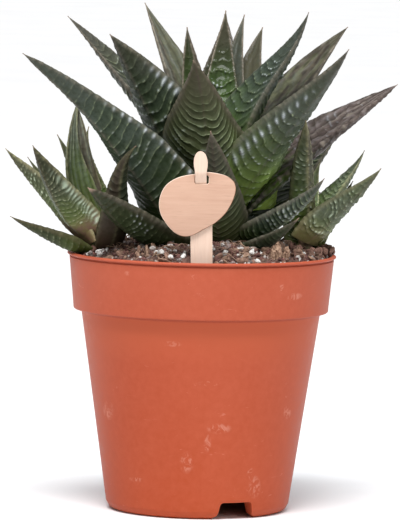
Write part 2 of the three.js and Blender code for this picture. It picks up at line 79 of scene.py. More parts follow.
LEAVES = [
    ("main_leaf_01", (-3.17, -4.08, 86.95), (-15.66, -13.12, 114.84), (-35.18, -28.3, 133.74), (-59.08, -33.56, 150.85), 3.7269, -0.6077, 0.0076, 11.8, 8.5, 0.431, 0.994, 1.5, 0.1),
    ("main_leaf_02", (2.2, 3.26, 104.3), (-12.05, 6.07, 125.66), (-28.94, 8.97, 144.79), (-46.05, 11.88, 161.74), 2.822, 0.0332, 0.2059, 11.07, 7.97, 0.219, 1.471, 0.9, 0.1),
    ("main_leaf_03", (2.8, -0.4, 105.79), (-8.91, -3.85, 123.13), (-19.06, -7.7, 141.45), (-31.54, -10.94, 156.79), 3.7836, -0.3071, -0.276, 13.82, 9.95, 0.267, 1.543, 0.9, 0.1),
    ("main_leaf_04", (3.91, 4.16, 106.68), (-0.79, 10.44, 129.54), (-11.42, 25.01, 146.33), (-20.78, 30.05, 166.18), 2.3396, 0.0762, -0.0397, 11.72, 8.44, 0.21, 1.219, 0.9, 0.1),
    ("main_leaf_05", (5.44, 3.92, 108.76), (-1.26, 9.97, 124.62), (-5.24, 14.87, 141.39), (-6.38, 15.08, 158.77), 1.8549, 0.0271, 0.0533, 7.59, 5.47, 0.212, 1.367, 0.9, 0.1),
    ("main_leaf_06", (5.46, 0.07, 103.3), (-4.2, -9.66, 117.61), (0.32, -19.74, 134.61), (-4.03, -28.13, 149.52), 4.4384, -0.0581, -0.0579, 13.95, 10.05, 0.434, 1.008, 0.9, -0.25),
    ("main_leaf_07", (6.54, -6.98, 88.46), (5.36, -17.16, 100.1), (4.47, -24.52, 113.46), (2.03, -29.98, 126.73), 4.7724, -0.001, -0.0002, 9.25, 6.66, 0.208, 1.359, 0.9, 0.1),
    ("main_leaf_08", (5.92, 5, 107.43), (4.32, 15.43, 125.97), (5.6, 25.64, 144.58), (6.46, 31.02, 164.05), 1.5967, 0.0108, 0.0153, 8.44, 6.08, 0.209, 1.29, 0.9, 0.1),
    ("main_leaf_09", (5.17, 6.93, 99.08), (-1.67, 19.57, 120.91), (7.7, 35.37, 140.59), (6.16, 44.97, 162.45), 1.7382, 0.0146, -0.0104, 11.35, 8.18, 0.215, 1.53, 0.9, 0.1),
    ("main_leaf_10", (6.98, 5.88, 103.24), (7.85, 18.91, 122.67), (8.17, 29.85, 143.35), (12.83, 39.93, 162.51), 1.3239, 0.0137, 0.0272, 7.82, 5.63, 0.196, 1.228, 0.9, 0.1),
    ("main_leaf_11", (7.96, 6.6, 99.15), (11.75, 20.81, 118.48), (12.85, 32.28, 140.12), (19.12, 45.02, 158.22), 1.1674, -0.0066, -0.0505, 9.26, 6.67, 0.221, 1.494, 0.9, 0.1),
    ("main_leaf_12", (7.85, 2.76, 112.74), (8.31, 3.07, 134.89), (28.48, 8.72, 146.42), (33.86, 10.03, 164.64), 0.3911, -0.2497, -0.0008, 10.87, 7.83, 0.233, 1.234, 0.9, 0.1),
    ("main_leaf_13", (9.65, 5.42, 102.07), (18.87, 13.24, 124.5), (32.08, 22.67, 143.55), (47.56, 31.88, 159.3), 0.7529, -0.0918, -0.1492, 10.81, 7.78, 0.236, 1.516, 0.9, 0.1),
    ("main_leaf_14", (9.42, -1.65, 100.29), (17.67, -10.26, 123.42), (35.76, -25.12, 135.91), (46.11, -35.85, 154.25), -0.8188, 0.1142, 0.0175, 12.12, 8.72, 0.211, 1.293, 1.202, 0.1),
    ("main_leaf_15", (11.67, 3.98, 98.78), (26.34, 5.16, 117.04), (46.36, 7.13, 128.66), (63.81, 9.21, 141.27), 0.3356, -0.1513, -0.2478, 11.63, 8.37, 0.245, 1.564, 0.9, 0.1),
    ("main_leaf_16", (12.68, -4.03, 90.27), (22.67, -12.62, 96.02), (32.66, -21.09, 101.88), (39.28, -28.04, 111.95), -0.7348, -0.0493, 0.1476, 7.09, 5.1, 0.216, 1.524, 0.898, 0.1),
    ("main_leaf_17", (11.96, -6.03, 84.93), (19.05, -15.64, 88.24), (25.72, -24.86, 92.85), (31.19, -33, 99.28), -0.9321, 0.0012, 0.0028, 6.07, 4.37, 0.201, 1.263, 0.9, 0.1),
    ("main_leaf_18", (-0.56, -4.16, 86.65), (-16.11, -16.78, 87.48), (-28.2, -25.21, 100.97), (-37.1, -39.12, 108.18), 3.8958, 0.0777, -0.1998, 9.52, 6.85, 0.227, 2.274, 0.9, 0.1),
    ("main_leaf_19", (7.94, 9.76, 89), (11.52, 23.31, 100.68), (14.94, 36.16, 113.06), (17.46, 45.5, 127.44), 1.3265, 0, 0, 10, 7.2, 0.2, 1.25, 0.9, 0.1),
    ("main_leaf_20", (11.95, 7.35, 90), (24.82, 18.61, 101.15), (37.24, 29.45, 113.08), (47.1, 38, 127.38), 0.733, 0, 0, 10, 7.2, 0.2, 1.25, 0.9, 0.1),
    ("main_leaf_21", (3.53, 9.61, 88), (-1.82, 23.12, 98.96), (-6.96, 35.98, 110.65), (-10.96, 45.5, 124.51), 1.885, 0, 0, 10, 7.2, 0.2, 1.25, 0.9, 0.1),
    ("main_leaf_22", (-0.13, 7.14, 90), (-10.78, 17.72, 98.81), (-20.96, 27.91, 108.42), (-28.69, 36, 120.61), 2.4435, 0, 0, 10, 7.2, 0.2, 1.25, 0.9, 0.1),
    ("main_leaf_23", (-2.34, 5.37, 87), (-12.97, 10.53, 89.08), (-22.94, 15.51, 93.04), (-31.68, 20, 98.66), 2.7576, 0, 0, 8, 5.76, 0.2, 1.25, 0.9, 0.1),
    ("main_leaf_24", (10.5, 9.79, 87), (16.2, 20.09, 90.14), (21.48, 29.68, 95.11), (26.03, 38, 101.6), 1.0472, 0, 0, 8, 5.76, 0.2, 1.25, 0.9, 0.1),
    ("left_leaf_01", (-36.85, -9.1, 87.44), (-44.26, -8.01, 100.01), (-56.33, -7.47, 108.37), (-65.21, -6.51, 118.47), 3.4199, -0.093, -0.2252, 8.3, 5.97, 0.209, 1.489, 0.906, 0.1),
    ("left_leaf_02", (-35.6, -6.5, 91.03), (-44.5, 0.4, 97.53), (-52.2, 6.67, 105.68), (-58.55, 12, 114.67), 2.617, 0.0001, 0.0013, 5.01, 3.61, 0.2, 1.252, 0.9, 0.1),
    ("left_leaf_03", (-35.11, -10.13, 89.97), (-43.72, -17, 98.75), (-50.25, -22.44, 109.7), (-55.57, -27.13, 120.79), 3.933, -0.0444, -0.1097, 8.92, 6.42, 0.217, 1.406, 0.9, 0.1),
    ("left_leaf_04", (-34.72, -5.54, 92.42), (-39.77, 0.87, 101.92), (-43.14, 5.66, 113.04), (-48.8, 9.92, 122.46), 2.181, -0.0055, -0.0279, 4.79, 3.45, 0.197, 1.207, 0.9, 0.1),
    ("left_leaf_05", (-34.28, -6.47, 95.02), (-44.12, -0.64, 106.82), (-42.16, -6.8, 121.14), (-41.97, -5.83, 134.17), 2.2667, 0.0096, 0.0359, 7.4, 5.33, 0.206, 1.763, 0.9, 0.1),
    ("left_leaf_06", (-31.7, -6.48, 92.7), (-34.25, 1.17, 103.18), (-41.04, 7.18, 113.82), (-38.38, 13.79, 125.1), 0.8624, -0.0241, 0.0406, 5.12, 3.69, 0.2, 1.075, 0.9, 0.1),
    ("left_leaf_07", (-30.79, -11.33, 86.8), (-25.77, -21.47, 95.89), (-30.77, -20.99, 112.86), (-21.96, -28.64, 121.32), -0.9859, 0.0012, 0.0852, 5.72, 4.12, 0.199, 1.366, 0.9, 0.1),
    ("left_leaf_08", (-37.63, -9.88, 85.45), (-46.08, -12.13, 89.74), (-55.28, -14.4, 92.38), (-62.94, -16.75, 96.93), 3.528, -0.0534, -0.0792, 6.03, 4.34, 0.213, 1.351, 0.9, 0.1),
    ("left_leaf_09", (-33.69, -4.06, 87), (-37.2, 5.76, 90.22), (-40.65, 14.62, 95.2), (-43.82, 22, 101.64), 1.7453, 0, 0, 6, 4.32, 0.2, 1.25, 0.9, 0.1),
    ("left_leaf_10", (-30.71, -4.72, 88), (-31.69, 3.18, 91.34), (-33.48, 9.88, 96.08), (-35.96, 15, 101.92), 0.9599, 0, 0, 6, 4.32, 0.2, 1.25, 0.9, 0.1),
    ("right_leaf_01", (33.83, 0.01, 91.93), (31.13, -5.49, 105.48), (33.2, -8.22, 120.54), (33.02, -19.45, 130.27), -1.6583, 0.0072, -0.0049, 4.44, 3.2, 0.208, 1.741, 0.9, -0.5),
    ("right_leaf_02", (35, 3.73, 90.99), (35.86, 7.79, 98.97), (35.97, 10.83, 107.51), (38.92, 13.83, 115.02), 1.0451, 0.0054, 0.0221, 4.18, 3.01, 0.196, 1.196, 0.9, 0.1),
    ("right_leaf_03", (36.85, 2.93, 93.32), (40.51, 4.51, 103.4), (49.37, 7.16, 109.98), (53.26, 8.22, 119.28), 0.3156, -0.1657, 0.0376, 7.02, 5.06, 0.215, 1.126, 0.9, 0.1),
    ("right_leaf_04", (34.37, -1.38, 89.19), (41.18, -3.63, 99), (51.38, -7.14, 105.25), (58.35, -7.73, 114.33), -1.4605, -0.2666, -0.0262, 7.03, 5.06, 0.185, 1.171, 1.046, 0.1),
    ("right_leaf_05", (36.43, 3.76, 88), (41.61, 9.03, 94.25), (46.21, 13.87, 101.19), (49.96, 18, 108.41), 0.6283, 0, 0, 5, 3.6, 0.2, 1.25, 0.9, 0.1),
    ("right_leaf_06", (35.63, 5.65, 87), (37.4, 12.54, 91.49), (38.59, 18.1, 97.36), (39.13, 22, 104.26), 1.1519, 0, 0, 6, 4.32, 0.2, 1.25, 0.9, 0.1),
    ("right_leaf_07", (32.76, 5.8, 87), (31.08, 12.65, 91.15), (29.84, 18.16, 96.73), (29.1, 22, 103.39), 1.885, 0, 0, 5.5, 3.96, 0.2, 1.25, 0.9, 0.1),
]


# ---------------------------------------------------------------------------
# small helpers
# ---------------------------------------------------------------------------
def lattice(ix, iy, iz, seed):
    n = (ix * 374761393 + iy * 668265263 + iz * 1440662683 + seed * 1013904223) & 0xFFFFFFFF
    n = ((n ^ (n >> 13)) * 1274126177) & 0xFFFFFFFF
    return ((n ^ (n >> 16)) & 0xFFFF) / 65535.0


def noise2(x, y, seed=0):
    """Smooth seeded noise, 0 to 1."""
    x, y = np.broadcast_arrays(np.asarray(x, float), np.asarray(y, float))
    ix, iy = np.floor(x).astype(np.int64), np.floor(y).astype(np.int64)
    fx, fy = x - ix, y - iy
    fx, fy = fx * fx * (3 - 2 * fx), fy * fy * (3 - 2 * fy)
    z = np.zeros_like(ix)
    a, b = lattice(ix, iy, z, seed), lattice(ix + 1, iy, z, seed)
    c, d = lattice(ix, iy + 1, z, seed), lattice(ix + 1, iy + 1, z, seed)
    return (a * (1 - fx) + b * fx) * (1 - fy) + (c * (1 - fx) + d * fx) * fy


def fbm2(x, y, seed=0, octaves=4):
    total, amp, norm = 0.0, 1.0, 0.0
    for k in range(octaves):
        total = total + amp * noise2(np.asarray(x) * 2.03**k, np.asarray(y) * 2.03**k, seed + 17 * k)
        norm += amp
        amp *= 0.5
    return total / norm


def smooth(a, b, x):
    t = np.clip((np.asarray(x, float) - a) / (b - a), 0, 1)
    return t * t * (3 - 2 * t)


def new_object(name, verts, faces, mm=True, smooth_shade=True):
    me = bpy.data.meshes.new(name)
    v = np.asarray(verts, float) * (MM if mm else 1.0)
    me.from_pydata(v.tolist(), [], faces if isinstance(faces, list) else faces.tolist())
    me.update()
    if smooth_shade:
        me.shade_smooth()
    ob = bpy.data.objects.new(name, me)
    scene.collection.objects.link(ob)
    return ob


def put_vectors(me, name, data):
    at = me.attributes.new(name, "FLOAT_VECTOR", "POINT")
    at.data.foreach_set("vector", np.ascontiguousarray(data, np.float32).ravel())


def outward(me):
    bm = bmesh.new()
    bm.from_mesh(me)
    bmesh.ops.recalc_face_normals(bm, faces=bm.faces)
    bm.to_mesh(me)
    bm.free()


def sharpen(me, degrees=35):
    me.shade_smooth()
    me.set_sharp_from_angle(angle=math.radians(degrees))


def applied(ob):
    """The object's mesh with its modifiers applied, put back on it."""
    deps = bpy.context.evaluated_depsgraph_get()
    me = bpy.data.meshes.new_from_object(ob.evaluated_get(deps), preserve_all_data_layers=True, depsgraph=deps)
    ob.modifiers.clear()
    old = ob.data
    ob.data = me
    if isinstance(old, bpy.types.Mesh):
        bpy.data.meshes.remove(old)
    return ob


# ---------------------------------------------------------------------------
# materials
# ---------------------------------------------------------------------------
class Nodes:
    """A short way to write a node material."""

    def __init__(self, name):
        self.mat = bpy.data.materials.new(name)
        self.mat.use_nodes = True
        self.t = self.mat.node_tree
        self.t.nodes.clear()
        self.out = self.t.nodes.new("ShaderNodeOutputMaterial")
        self.bsdf = self.t.nodes.new("ShaderNodeBsdfPrincipled")
        self.t.links.new(self.bsdf.outputs[0], self.out.inputs[0])
        self.coord = self.t.nodes.new("ShaderNodeTexCoord").outputs["Object"]

    def link(self, a, b):
        self.t.links.new(a, b)

    def feed(self, socket, value):
        if isinstance(value, bpy.types.NodeSocket):
            self.link(value, socket)
        elif isinstance(value, (tuple, list)):
            socket.default_value = (*value, 1.0) if len(value) == 3 and socket.type == "RGBA" else value
        else:
            socket.default_value = value

    def stretch(self, sx, sy, sz):
        n = self.t.nodes.new("ShaderNodeMapping")
        self.link(self.coord, n.inputs[0])
        n.inputs["Scale"].default_value = (sx, sy, sz)
        return n.outputs[0]

    def noise(self, scale, detail=3.0, rough=0.5, where=None, distort=0.0):
        n = self.t.nodes.new("ShaderNodeTexNoise")
        self.link(where or self.coord, n.inputs["Vector"])
        n.inputs["Scale"].default_value = scale
        n.inputs["Detail"].default_value = detail
        n.inputs["Roughness"].default_value = rough
        n.inputs["Distortion"].default_value = distort
        return n.outputs["Fac"]

    def voronoi(self, scale, feature="F1", where=None):
        n = self.t.nodes.new("ShaderNodeTexVoronoi")
        n.feature = feature
        self.link(where or self.coord, n.inputs["Vector"])
        n.inputs["Scale"].default_value = scale
        return n

    def math(self, op, a, b=0.0, c=None, clamp=False):
        n = self.t.nodes.new("ShaderNodeMath")
        n.operation = op
        n.use_clamp = clamp
        self.feed(n.inputs[0], a)
        self.feed(n.inputs[1], b)
        if c is not None:
            self.feed(n.inputs[2], c)
        return n.outputs[0]

    def span(self, x, a, b, lo=0.0, hi=1.0):
        n = self.t.nodes.new("ShaderNodeMapRange")
        n.clamp = True
        self.feed(n.inputs["Value"], x)
        for k, v in (("From Min", a), ("From Max", b), ("To Min", lo), ("To Max", hi)):
            n.inputs[k].default_value = v
        return n.outputs["Result"]

    def ease(self, x, a, b):
        """1 where x is at b, 0 at a, with a soft start and end."""
        n = self.t.nodes.new("ShaderNodeMapRange")
        n.interpolation_type = "SMOOTHSTEP"
        self.feed(n.inputs["Value"], x)
        for k, v in (("From Min", b), ("From Max", a), ("To Min", 1.0), ("To Max", 0.0)):
            n.inputs[k].default_value = v
        return n.outputs["Result"]

    def mix(self, f, a, b, mode="MIX"):
        n = self.t.nodes.new("ShaderNodeMix")
        n.data_type = "RGBA"
        n.blend_type = mode
        self.feed(n.inputs["Factor"], f)
        self.feed(n.inputs[6], a)
        self.feed(n.inputs[7], b)
        return n.outputs[2]

    def vector(self, name):
        n = self.t.nodes.new("ShaderNodeAttribute")
        n.attribute_name = name
        s = self.t.nodes.new("ShaderNodeSeparateXYZ")
        self.link(n.outputs["Vector"], s.inputs[0])
        return s.outputs[0], s.outputs[1], s.outputs[2]

    def bump(self, height, distance, strength=1.0, under=None):
        n = self.t.nodes.new("ShaderNodeBump")
        n.inputs["Strength"].default_value = strength
        n.inputs["Distance"].default_value = distance
        self.link(height, n.inputs["Height"])
        if under is not None:
            self.link(under, n.inputs["Normal"])
        return n.outputs[0]

    def finish(self, colour, roughness, normal=None, **fixed):
        self.feed(self.bsdf.inputs["Base Color"], colour)
        self.feed(self.bsdf.inputs["Roughness"], roughness)
        if normal is not None:
            self.link(normal, self.bsdf.inputs["Normal"])
        for k, v in fixed.items():
            self.bsdf.inputs[k.replace("_", " ")].default_value = v
        return self.mat


def leaf_material(name, dark, mid, green, brown, bloom, ridge, ridge_brown, margin, pearl, fresh, coat=0.22):
    """Waxy leaf skin: dark valleys, pale cross ridges with painted shade on their base side, white tubercles with
    painted glints, a grey-blue tint that is partly painted sheen, brighter base, browner tip.
    """
    m = Nodes(name)
    ridge_at, green_at, brown_at = m.vector("look_a")
    bloom_at, edge_at, dry_at = m.vector("look_b")
    phase, pitch_mm, olive_at = m.vector("look_c")
    pearl_at, fresh_at, gain_at = m.vector("look_d")
    # millimetres from the nearest ridge, positive on the tip side
    off = m.math("MULTIPLY", m.math("SUBTRACT", phase, m.math("ROUND", phase)), pitch_mm)
    big = m.noise(130, 3, 0.55)
    fleck = m.noise(620, 4, 0.6)
    fine = m.noise(2600, 2, 0.5)
    piece = m.span(m.noise(760, 2, 0.5), 0.40, 0.58, 0.42, 1.0)
    line = m.math("MULTIPLY", m.ease(m.math("ABSOLUTE", m.math("SUBTRACT", off, 0.06)), 0.34, 0.06), ridge_at, clamp=True)
    line = m.math("MULTIPLY", line, piece)
    # painted shade on the base side of each ridge, where its step would shadow the skin; the next mask paints a faint
    # light on the tip side
    under = m.math("MULTIPLY", m.math("MULTIPLY", m.ease(off, -2.1, -0.30), m.span(off, -0.10, -0.26)), ridge_at, clamp=True)
    above = m.math("MULTIPLY", m.math("MULTIPLY", m.ease(off, 1.9, 0.20), m.span(off, 0.0, 0.25)), ridge_at, clamp=True)
    c = m.mix(m.span(fleck, 0.32, 0.70), dark, mid)
    g = m.math("MULTIPLY", green_at, m.span(big, 0.25, 0.75, 0.65, 1.15), clamp=True)
    c = m.mix(g, c, green)
    c = m.mix(m.math("MULTIPLY", fresh_at, m.span(big, 0.25, 0.75, 0.7, 1.1), clamp=True), c, fresh)
    c = m.mix(m.math("MULTIPLY", olive_at, m.span(big, 0.3, 0.7, 0.75, 1.1), clamp=True), c, (0.105, 0.098, 0.052))
    b = m.math("MULTIPLY", brown_at, m.span(fleck, 0.3, 0.7, 0.7, 1.1), clamp=True)
    c = m.mix(b, c, brown)
    # grey-blue tint: partly a real waxy bloom, partly painted sheen of an overhead light
    w = m.math("MULTIPLY", bloom_at, m.span(fleck, 0.30, 0.72, 0.45, 1.1), clamp=True)
    c = m.mix(w, c, bloom)
    rc = m.mix(brown_at, ridge, ridge_brown)
    c = m.mix(m.math("MULTIPLY", under, 0.72), c, tuple(v * 0.45 for v in dark))
    c = m.mix(m.math("MULTIPLY", above, 0.13), c, rc)
    c = m.mix(m.math("MULTIPLY", line, m.span(fine, 0.25, 0.65, 0.75, 1.0)), c, rc)
    # pale bluish dots: partly white tubercles, partly painted glints where light would catch the beads
    c = m.mix(m.math("MULTIPLY", pearl_at, m.span(fine, 0.25, 0.6, 0.7, 1.0), clamp=True), c, pearl)
    e = m.math("MULTIPLY", edge_at, m.span(fleck, 0.35, 0.6, 0.35, 1.0), clamp=True)
    c = m.mix(e, c, margin)
    # brightness multiplier: partly the leaf's own tone, partly painted light on parts that lie in shade
    c = m.mix(1.0, c, gain_at, "MULTIPLY")
    c = m.mix(dry_at, c, (0.34, 0.235, 0.18))
    rough = m.math("ADD", m.span(fleck, 0.3, 0.7, 0.30, 0.42), m.math("MULTIPLY", brown_at, 0.13))
    rough = m.math("SUBTRACT", rough, m.math("MULTIPLY", line, 0.06))
    rough = m.math("SUBTRACT", rough, m.math("MULTIPLY", pearl_at, 0.12))
    n = m.bump(fine, 0.00006, 0.5)
    n = m.bump(fleck, 0.00014, 0.5, n)
    n = m.bump(line, 0.00016, 0.9, n)
    return m.finish(c, rough, n, Specular_IOR_Level=0.03, Coat_Weight=coat, Coat_Roughness=0.11)


LEAF_TONES = dict(
    dark=(0.010, 0.019, 0.004), mid=(0.024, 0.040, 0.009), green=(0.050, 0.108, 0.006),
    brown=(0.052, 0.036, 0.026), bloom=(0.070, 0.090, 0.082),
    ridge=(0.34, 0.41, 0.23), ridge_brown=(0.28, 0.26, 0.19), margin=(0.20, 0.17, 0.13), pearl=(0.56, 0.60, 0.64), fresh=(0.105, 0.165, 0.022),
)
OFFSET_TONES = dict(
    dark=(0.014, 0.026, 0.006), mid=(0.034, 0.052, 0.013), green=(0.095, 0.155, 0.014),
    brown=(0.090, 0.052, 0.034), bloom=(0.10, 0.12, 0.10),
    ridge=(0.42, 0.47, 0.29), ridge_brown=(0.34, 0.29, 0.22), margin=(0.25, 0.24, 0.13), pearl=(0.44, 0.53, 0.40), fresh=(0.125, 0.19, 0.035),
)
LEAF = leaf_material("leaf_skin", coat=0.16, **LEAF_TONES)
LEAF_DULL = leaf_material("leaf_skin_dull", coat=0.06, **LEAF_TONES)
LEAF_BROWN = leaf_material("leaf_skin_brown", coat=0.10, **{**LEAF_TONES, "brown": (0.108, 0.079, 0.070), "ridge_brown": (0.34, 0.28, 0.26), "bloom": (0.16, 0.135, 0.13)})
OFFSET = leaf_material("offset_leaf_skin", coat=0.05, **OFFSET_TONES)
OFFSET_GLOSS = leaf_material("offset_leaf_skin_gloss", coat=0.22, **OFFSET_TONES)


def plastic():
    m = Nodes("terracotta_plastic")
    cloud = m.noise(22, 3, 0.5)
    speck = m.noise(420, 4, 0.62)
    streak = m.noise(1.0, 3, 0.6, where=m.stretch(60, 60, 700))
    scuff = m.span(m.noise(1.0, 4, 0.7, where=m.stretch(150, 150, 420), distort=1.2), 0.66, 0.74)
    split = m.t.nodes.new("ShaderNodeSeparateXYZ")
    m.link(m.coord, split.inputs[0])
    low = m.mix(m.span(cloud, 0.3, 0.7), (0.372, 0.057, 0.017), (0.405, 0.071, 0.026))
    high = m.mix(m.span(cloud, 0.3, 0.7), (0.412, 0.078, 0.036), (0.445, 0.094, 0.048))
    c = m.mix(m.span(split.outputs[2], 0.005, 0.08), low, high)
    c = m.mix(m.span(speck, 0.35, 0.75, 0.0, 0.14), c, (0.64, 0.17, 0.105))
    c = m.mix(m.math("MULTIPLY", scuff, 0.30), c, (0.70, 0.30, 0.23))
    # painted shade: thin dark lines just under the band's lower edge and under the lip, where the overhangs shade the
    # wall
    seam = m.math("MAXIMUM", m.math("MULTIPLY", m.ease(split.outputs[2], 0.0650, 0.0658), m.ease(split.outputs[2], 0.06625, 0.0660)),
                  m.math("MULTIPLY", m.ease(split.outputs[2], 0.08300, 0.0834), m.ease(split.outputs[2], 0.08405, 0.0838)))
    # painted light: the body just below the band is brightened against the shade the band casts on it
    c = m.mix(m.math("MULTIPLY", m.ease(split.outputs[2], 0.0485, 0.0625), m.ease(split.outputs[2], 0.0654, 0.0650)), c, (0.468, 0.093, 0.041))
    c = m.mix(m.math("MULTIPLY", seam, 0.36), c, (0.19, 0.022, 0.012))
    mark = None
    for x, z, a, b in ((-29.5, 33.9, 2.2, 3.6), (6.7, 30.3, 4.6, 2.0), (3.0, 25.5, 1.4, 3.4), (-3.6, 19.0, 2.6, 4.2), (17.2, 15.0, 1.3, 2.6), (18.6, 10.5, 2.4, 4.4),
                       (29.0, 34.5, 1.6, 2.6), (30.3, 73.5, 3.0, 1.4), (-24.0, 80.5, 1.0, 0.9), (2.8, 45.2, 4.2, 1.0), (26.0, 76.5, 0.9, 2.2), (-9.0, 58.0, 3.6, 1.1), (-20.0, 12.0, 3.0, 1.0)):
        dx = m.math("MULTIPLY", m.math("SUBTRACT", split.outputs[0], x * MM), 1 / (a * MM))
        dz = m.math("MULTIPLY", m.math("SUBTRACT", split.outputs[2], z * MM), 1 / (b * MM))
        d = m.math("ADD", m.math("MULTIPLY", dx, dx), m.math("MULTIPLY", dz, dz))
        e = m.ease(d, 1.0, 0.1)
        mark = e if mark is None else m.math("MAXIMUM", mark, e)
    scratch = m.noise(1.0, 4, 0.65, where=m.stretch(430, 430, 300), distort=1.4)
    mark = m.math("MULTIPLY", mark, m.span(scratch, 0.47, 0.60), clamp=True)
    c = m.mix(m.math("MULTIPLY", mark, 0.42), c, (0.66, 0.30, 0.22))
    rough = m.math("ADD", m.span(speck, 0.3, 0.7, 0.40, 0.52), m.math("MULTIPLY", m.math("MAXIMUM", scuff, mark), 0.14))
    n = m.bump(streak, 0.00005, 0.35)
    n = m.bump(speck, 0.00006, 0.35, n)
    return m.finish(c, rough, n, Specular_IOR_Level=0.13)


def peat():
    m = Nodes("potting_mix")
    kind, shade, _ = m.vector("look_a")
    a = m.noise(500, 5, 0.65)
    b = m.noise(2200, 3, 0.6)
    c = m.mix(m.span(a, 0.3, 0.7), (0.078, 0.040, 0.030), (0.245, 0.137, 0.108))
    c = m.mix(m.span(b, 0.55, 0.75), c, (0.26, 0.17, 0.125))
    c = m.mix(m.math("MULTIPLY", shade, 0.85), c, (0.005, 0.003, 0.002))
    n = m.bump(b, 0.00030, 0.9)
    n = m.bump(a, 0.0006, 0.8, n)
    return m.finish(c, m.span(b, 0.3, 0.7, 0.8, 0.97), n, Specular_IOR_Level=0.25)


def grains():
    """Crumbs, bark, fibres and perlite: x of look_a runs from dark crumb to pale grain."""
    m = Nodes("mix_grains")
    kind, shade, warm = m.vector("look_a")
    b = m.noise(1500, 4, 0.6)
    c = m.mix(m.span(b, 0.3, 0.7), (0.056, 0.020, 0.017), (0.300, 0.138, 0.115))
    tan = m.mix(m.span(b, 0.35, 0.7), (0.27, 0.165, 0.105), (0.52, 0.37, 0.25))
    white = m.mix(m.span(b, 0.3, 0.62), (0.50, 0.46, 0.41), (0.86, 0.85, 0.82))
    c = m.mix(warm, c, tan)
    c = m.mix(kind, c, white)
    c = m.mix(m.math("MULTIPLY", shade, 0.6), c, (0.02, 0.012, 0.008))
    n = m.bump(b, 0.00022, 0.9)
    return m.finish(c, m.span(b, 0.3, 0.7, 0.75, 0.95), n, Specular_IOR_Level=0.3)


def wood(name, pale, deep, sx, sz):
    m = Nodes(name)
    grain = m.noise(1.0, 5, 0.6, where=m.stretch(sx, 500, sz), distort=0.35)
    pores = m.noise(1.0, 2, 0.5, where=m.stretch(sx * 3.2, 1500, sz * 2.4))
    cloud = m.noise(110, 3, 0.5)
    c = m.mix(m.span(grain, 0.3, 0.72), pale, deep)
    c = m.mix(m.span(pores, 0.60, 0.74, 0.0, 0.35), c, tuple(v * 0.62 for v in deep))
    c = m.mix(m.span(cloud, 0.35, 0.75, 0.0, 0.35), c, tuple(min(1, v * 1.06) for v in pale))
    n = m.bump(grain, 0.00008, 0.5)
    n = m.bump(pores, 0.00005, 0.5, n)
    return m.finish(c, m.span(grain, 0.3, 0.7, 0.52, 0.66), n, Specular_IOR_Level=0.35)


def scorched():
    m = Nodes("scorched_edge_and_highlight")
    n1 = m.noise(900, 4, 0.6)
    pale_at, _, _ = m.vector("look_a")
    c = m.mix(m.span(n1, 0.3, 0.7), (0.10, 0.038, 0.016), (0.30, 0.125, 0.055))
    # painted highlight: a pale rim on the cut edges that face up and to the left; the dark tone is the burnt edge
    # itself
    c = m.mix(m.math("MULTIPLY", pale_at, m.span(n1, 0.2, 0.6, 0.8, 1.0)), c, (0.90, 0.70, 0.56))
    return m.finish(c, m.span(n1, 0.3, 0.7, 0.6, 0.8), m.bump(n1, 0.00008, 0.5), Specular_IOR_Level=0.3)


def stem_skin():
    m = Nodes("stem_skin")
    ring, husk, _ = m.vector("look_a")
    a = m.noise(420, 4, 0.6)
    c = m.mix(m.span(a, 0.3, 0.7), (0.10, 0.085, 0.035), (0.24, 0.22, 0.10))
    c = m.mix(husk, c, (0.25, 0.155, 0.09))
    c = m.mix(m.math("MULTIPLY", ring, 0.6), c, (0.07, 0.045, 0.03))
    return m.finish(c, m.span(a, 0.3, 0.7, 0.55, 0.75), m.bump(a, 0.0002, 0.6), Specular_IOR_Level=0.35)


def paper_floor():
    m = Nodes("pale_floor")
    a = m.noise(9, 3, 0.5)
    c = m.mix(m.span(a, 0.3, 0.7), (0.86, 0.86, 0.865), (0.885, 0.885, 0.885))
    return m.finish(c, m.span(a, 0.3, 0.7, 0.75, 0.85), None, Specular_IOR_Level=0.2)


PLASTIC, PEAT, GRAINS = plastic(), peat(), grains()
STAKE = wood("birch_stake", (0.78, 0.588, 0.473), (0.72, 0.516, 0.398), 900, 42)
PLATE = wood("birch_plate", (0.575, 0.362, 0.262), (0.510, 0.303, 0.214), 60, 900)
BURNT, STEM, FLOOR = scorched(), stem_skin(), paper_floor()


# ---------------------------------------------------------------------------
# leaves
# ---------------------------------------------------------------------------
def look(sp=3.2, amp=0.42, bead=0.25, bow=0.45, bp=1.7, green=0.5, reach=0.5, brown=0.12,
         tip=0.6, bloom=0.30, edge=0.5, saw=0.45, rough=1.4, dry=0.0, ridge=0.75,
         left=0.0, right=0.0, streak=0.0, bead_sp=1.7, top=1.0, base_brown=0.0, fat=0.0, olive=0.0, strip=0.0,
         inset=0.80, thin=0.7, thin_from=0.55, rib=0.12, even=1.0, hem=0.35, knob=0.0, pearl=0.55, foot=0.0, fresh=0.0,
         base_len=0.30, skin=0, gain=1.0, plump=0.70, ts=0.3, strands=3.5, wave=1.2, cut=0, lmar=0.0, rmar=0.0,
         base_side=0, lobe=0.0, mott=0.0, gain_base=1.0, gain_top=1.0, dots=1.15, brown_from=0.0, gain_tip=1.0, dash=0.65, dash_to=0.80, flare=0.0, glow=0.0):
    return dict(locals())


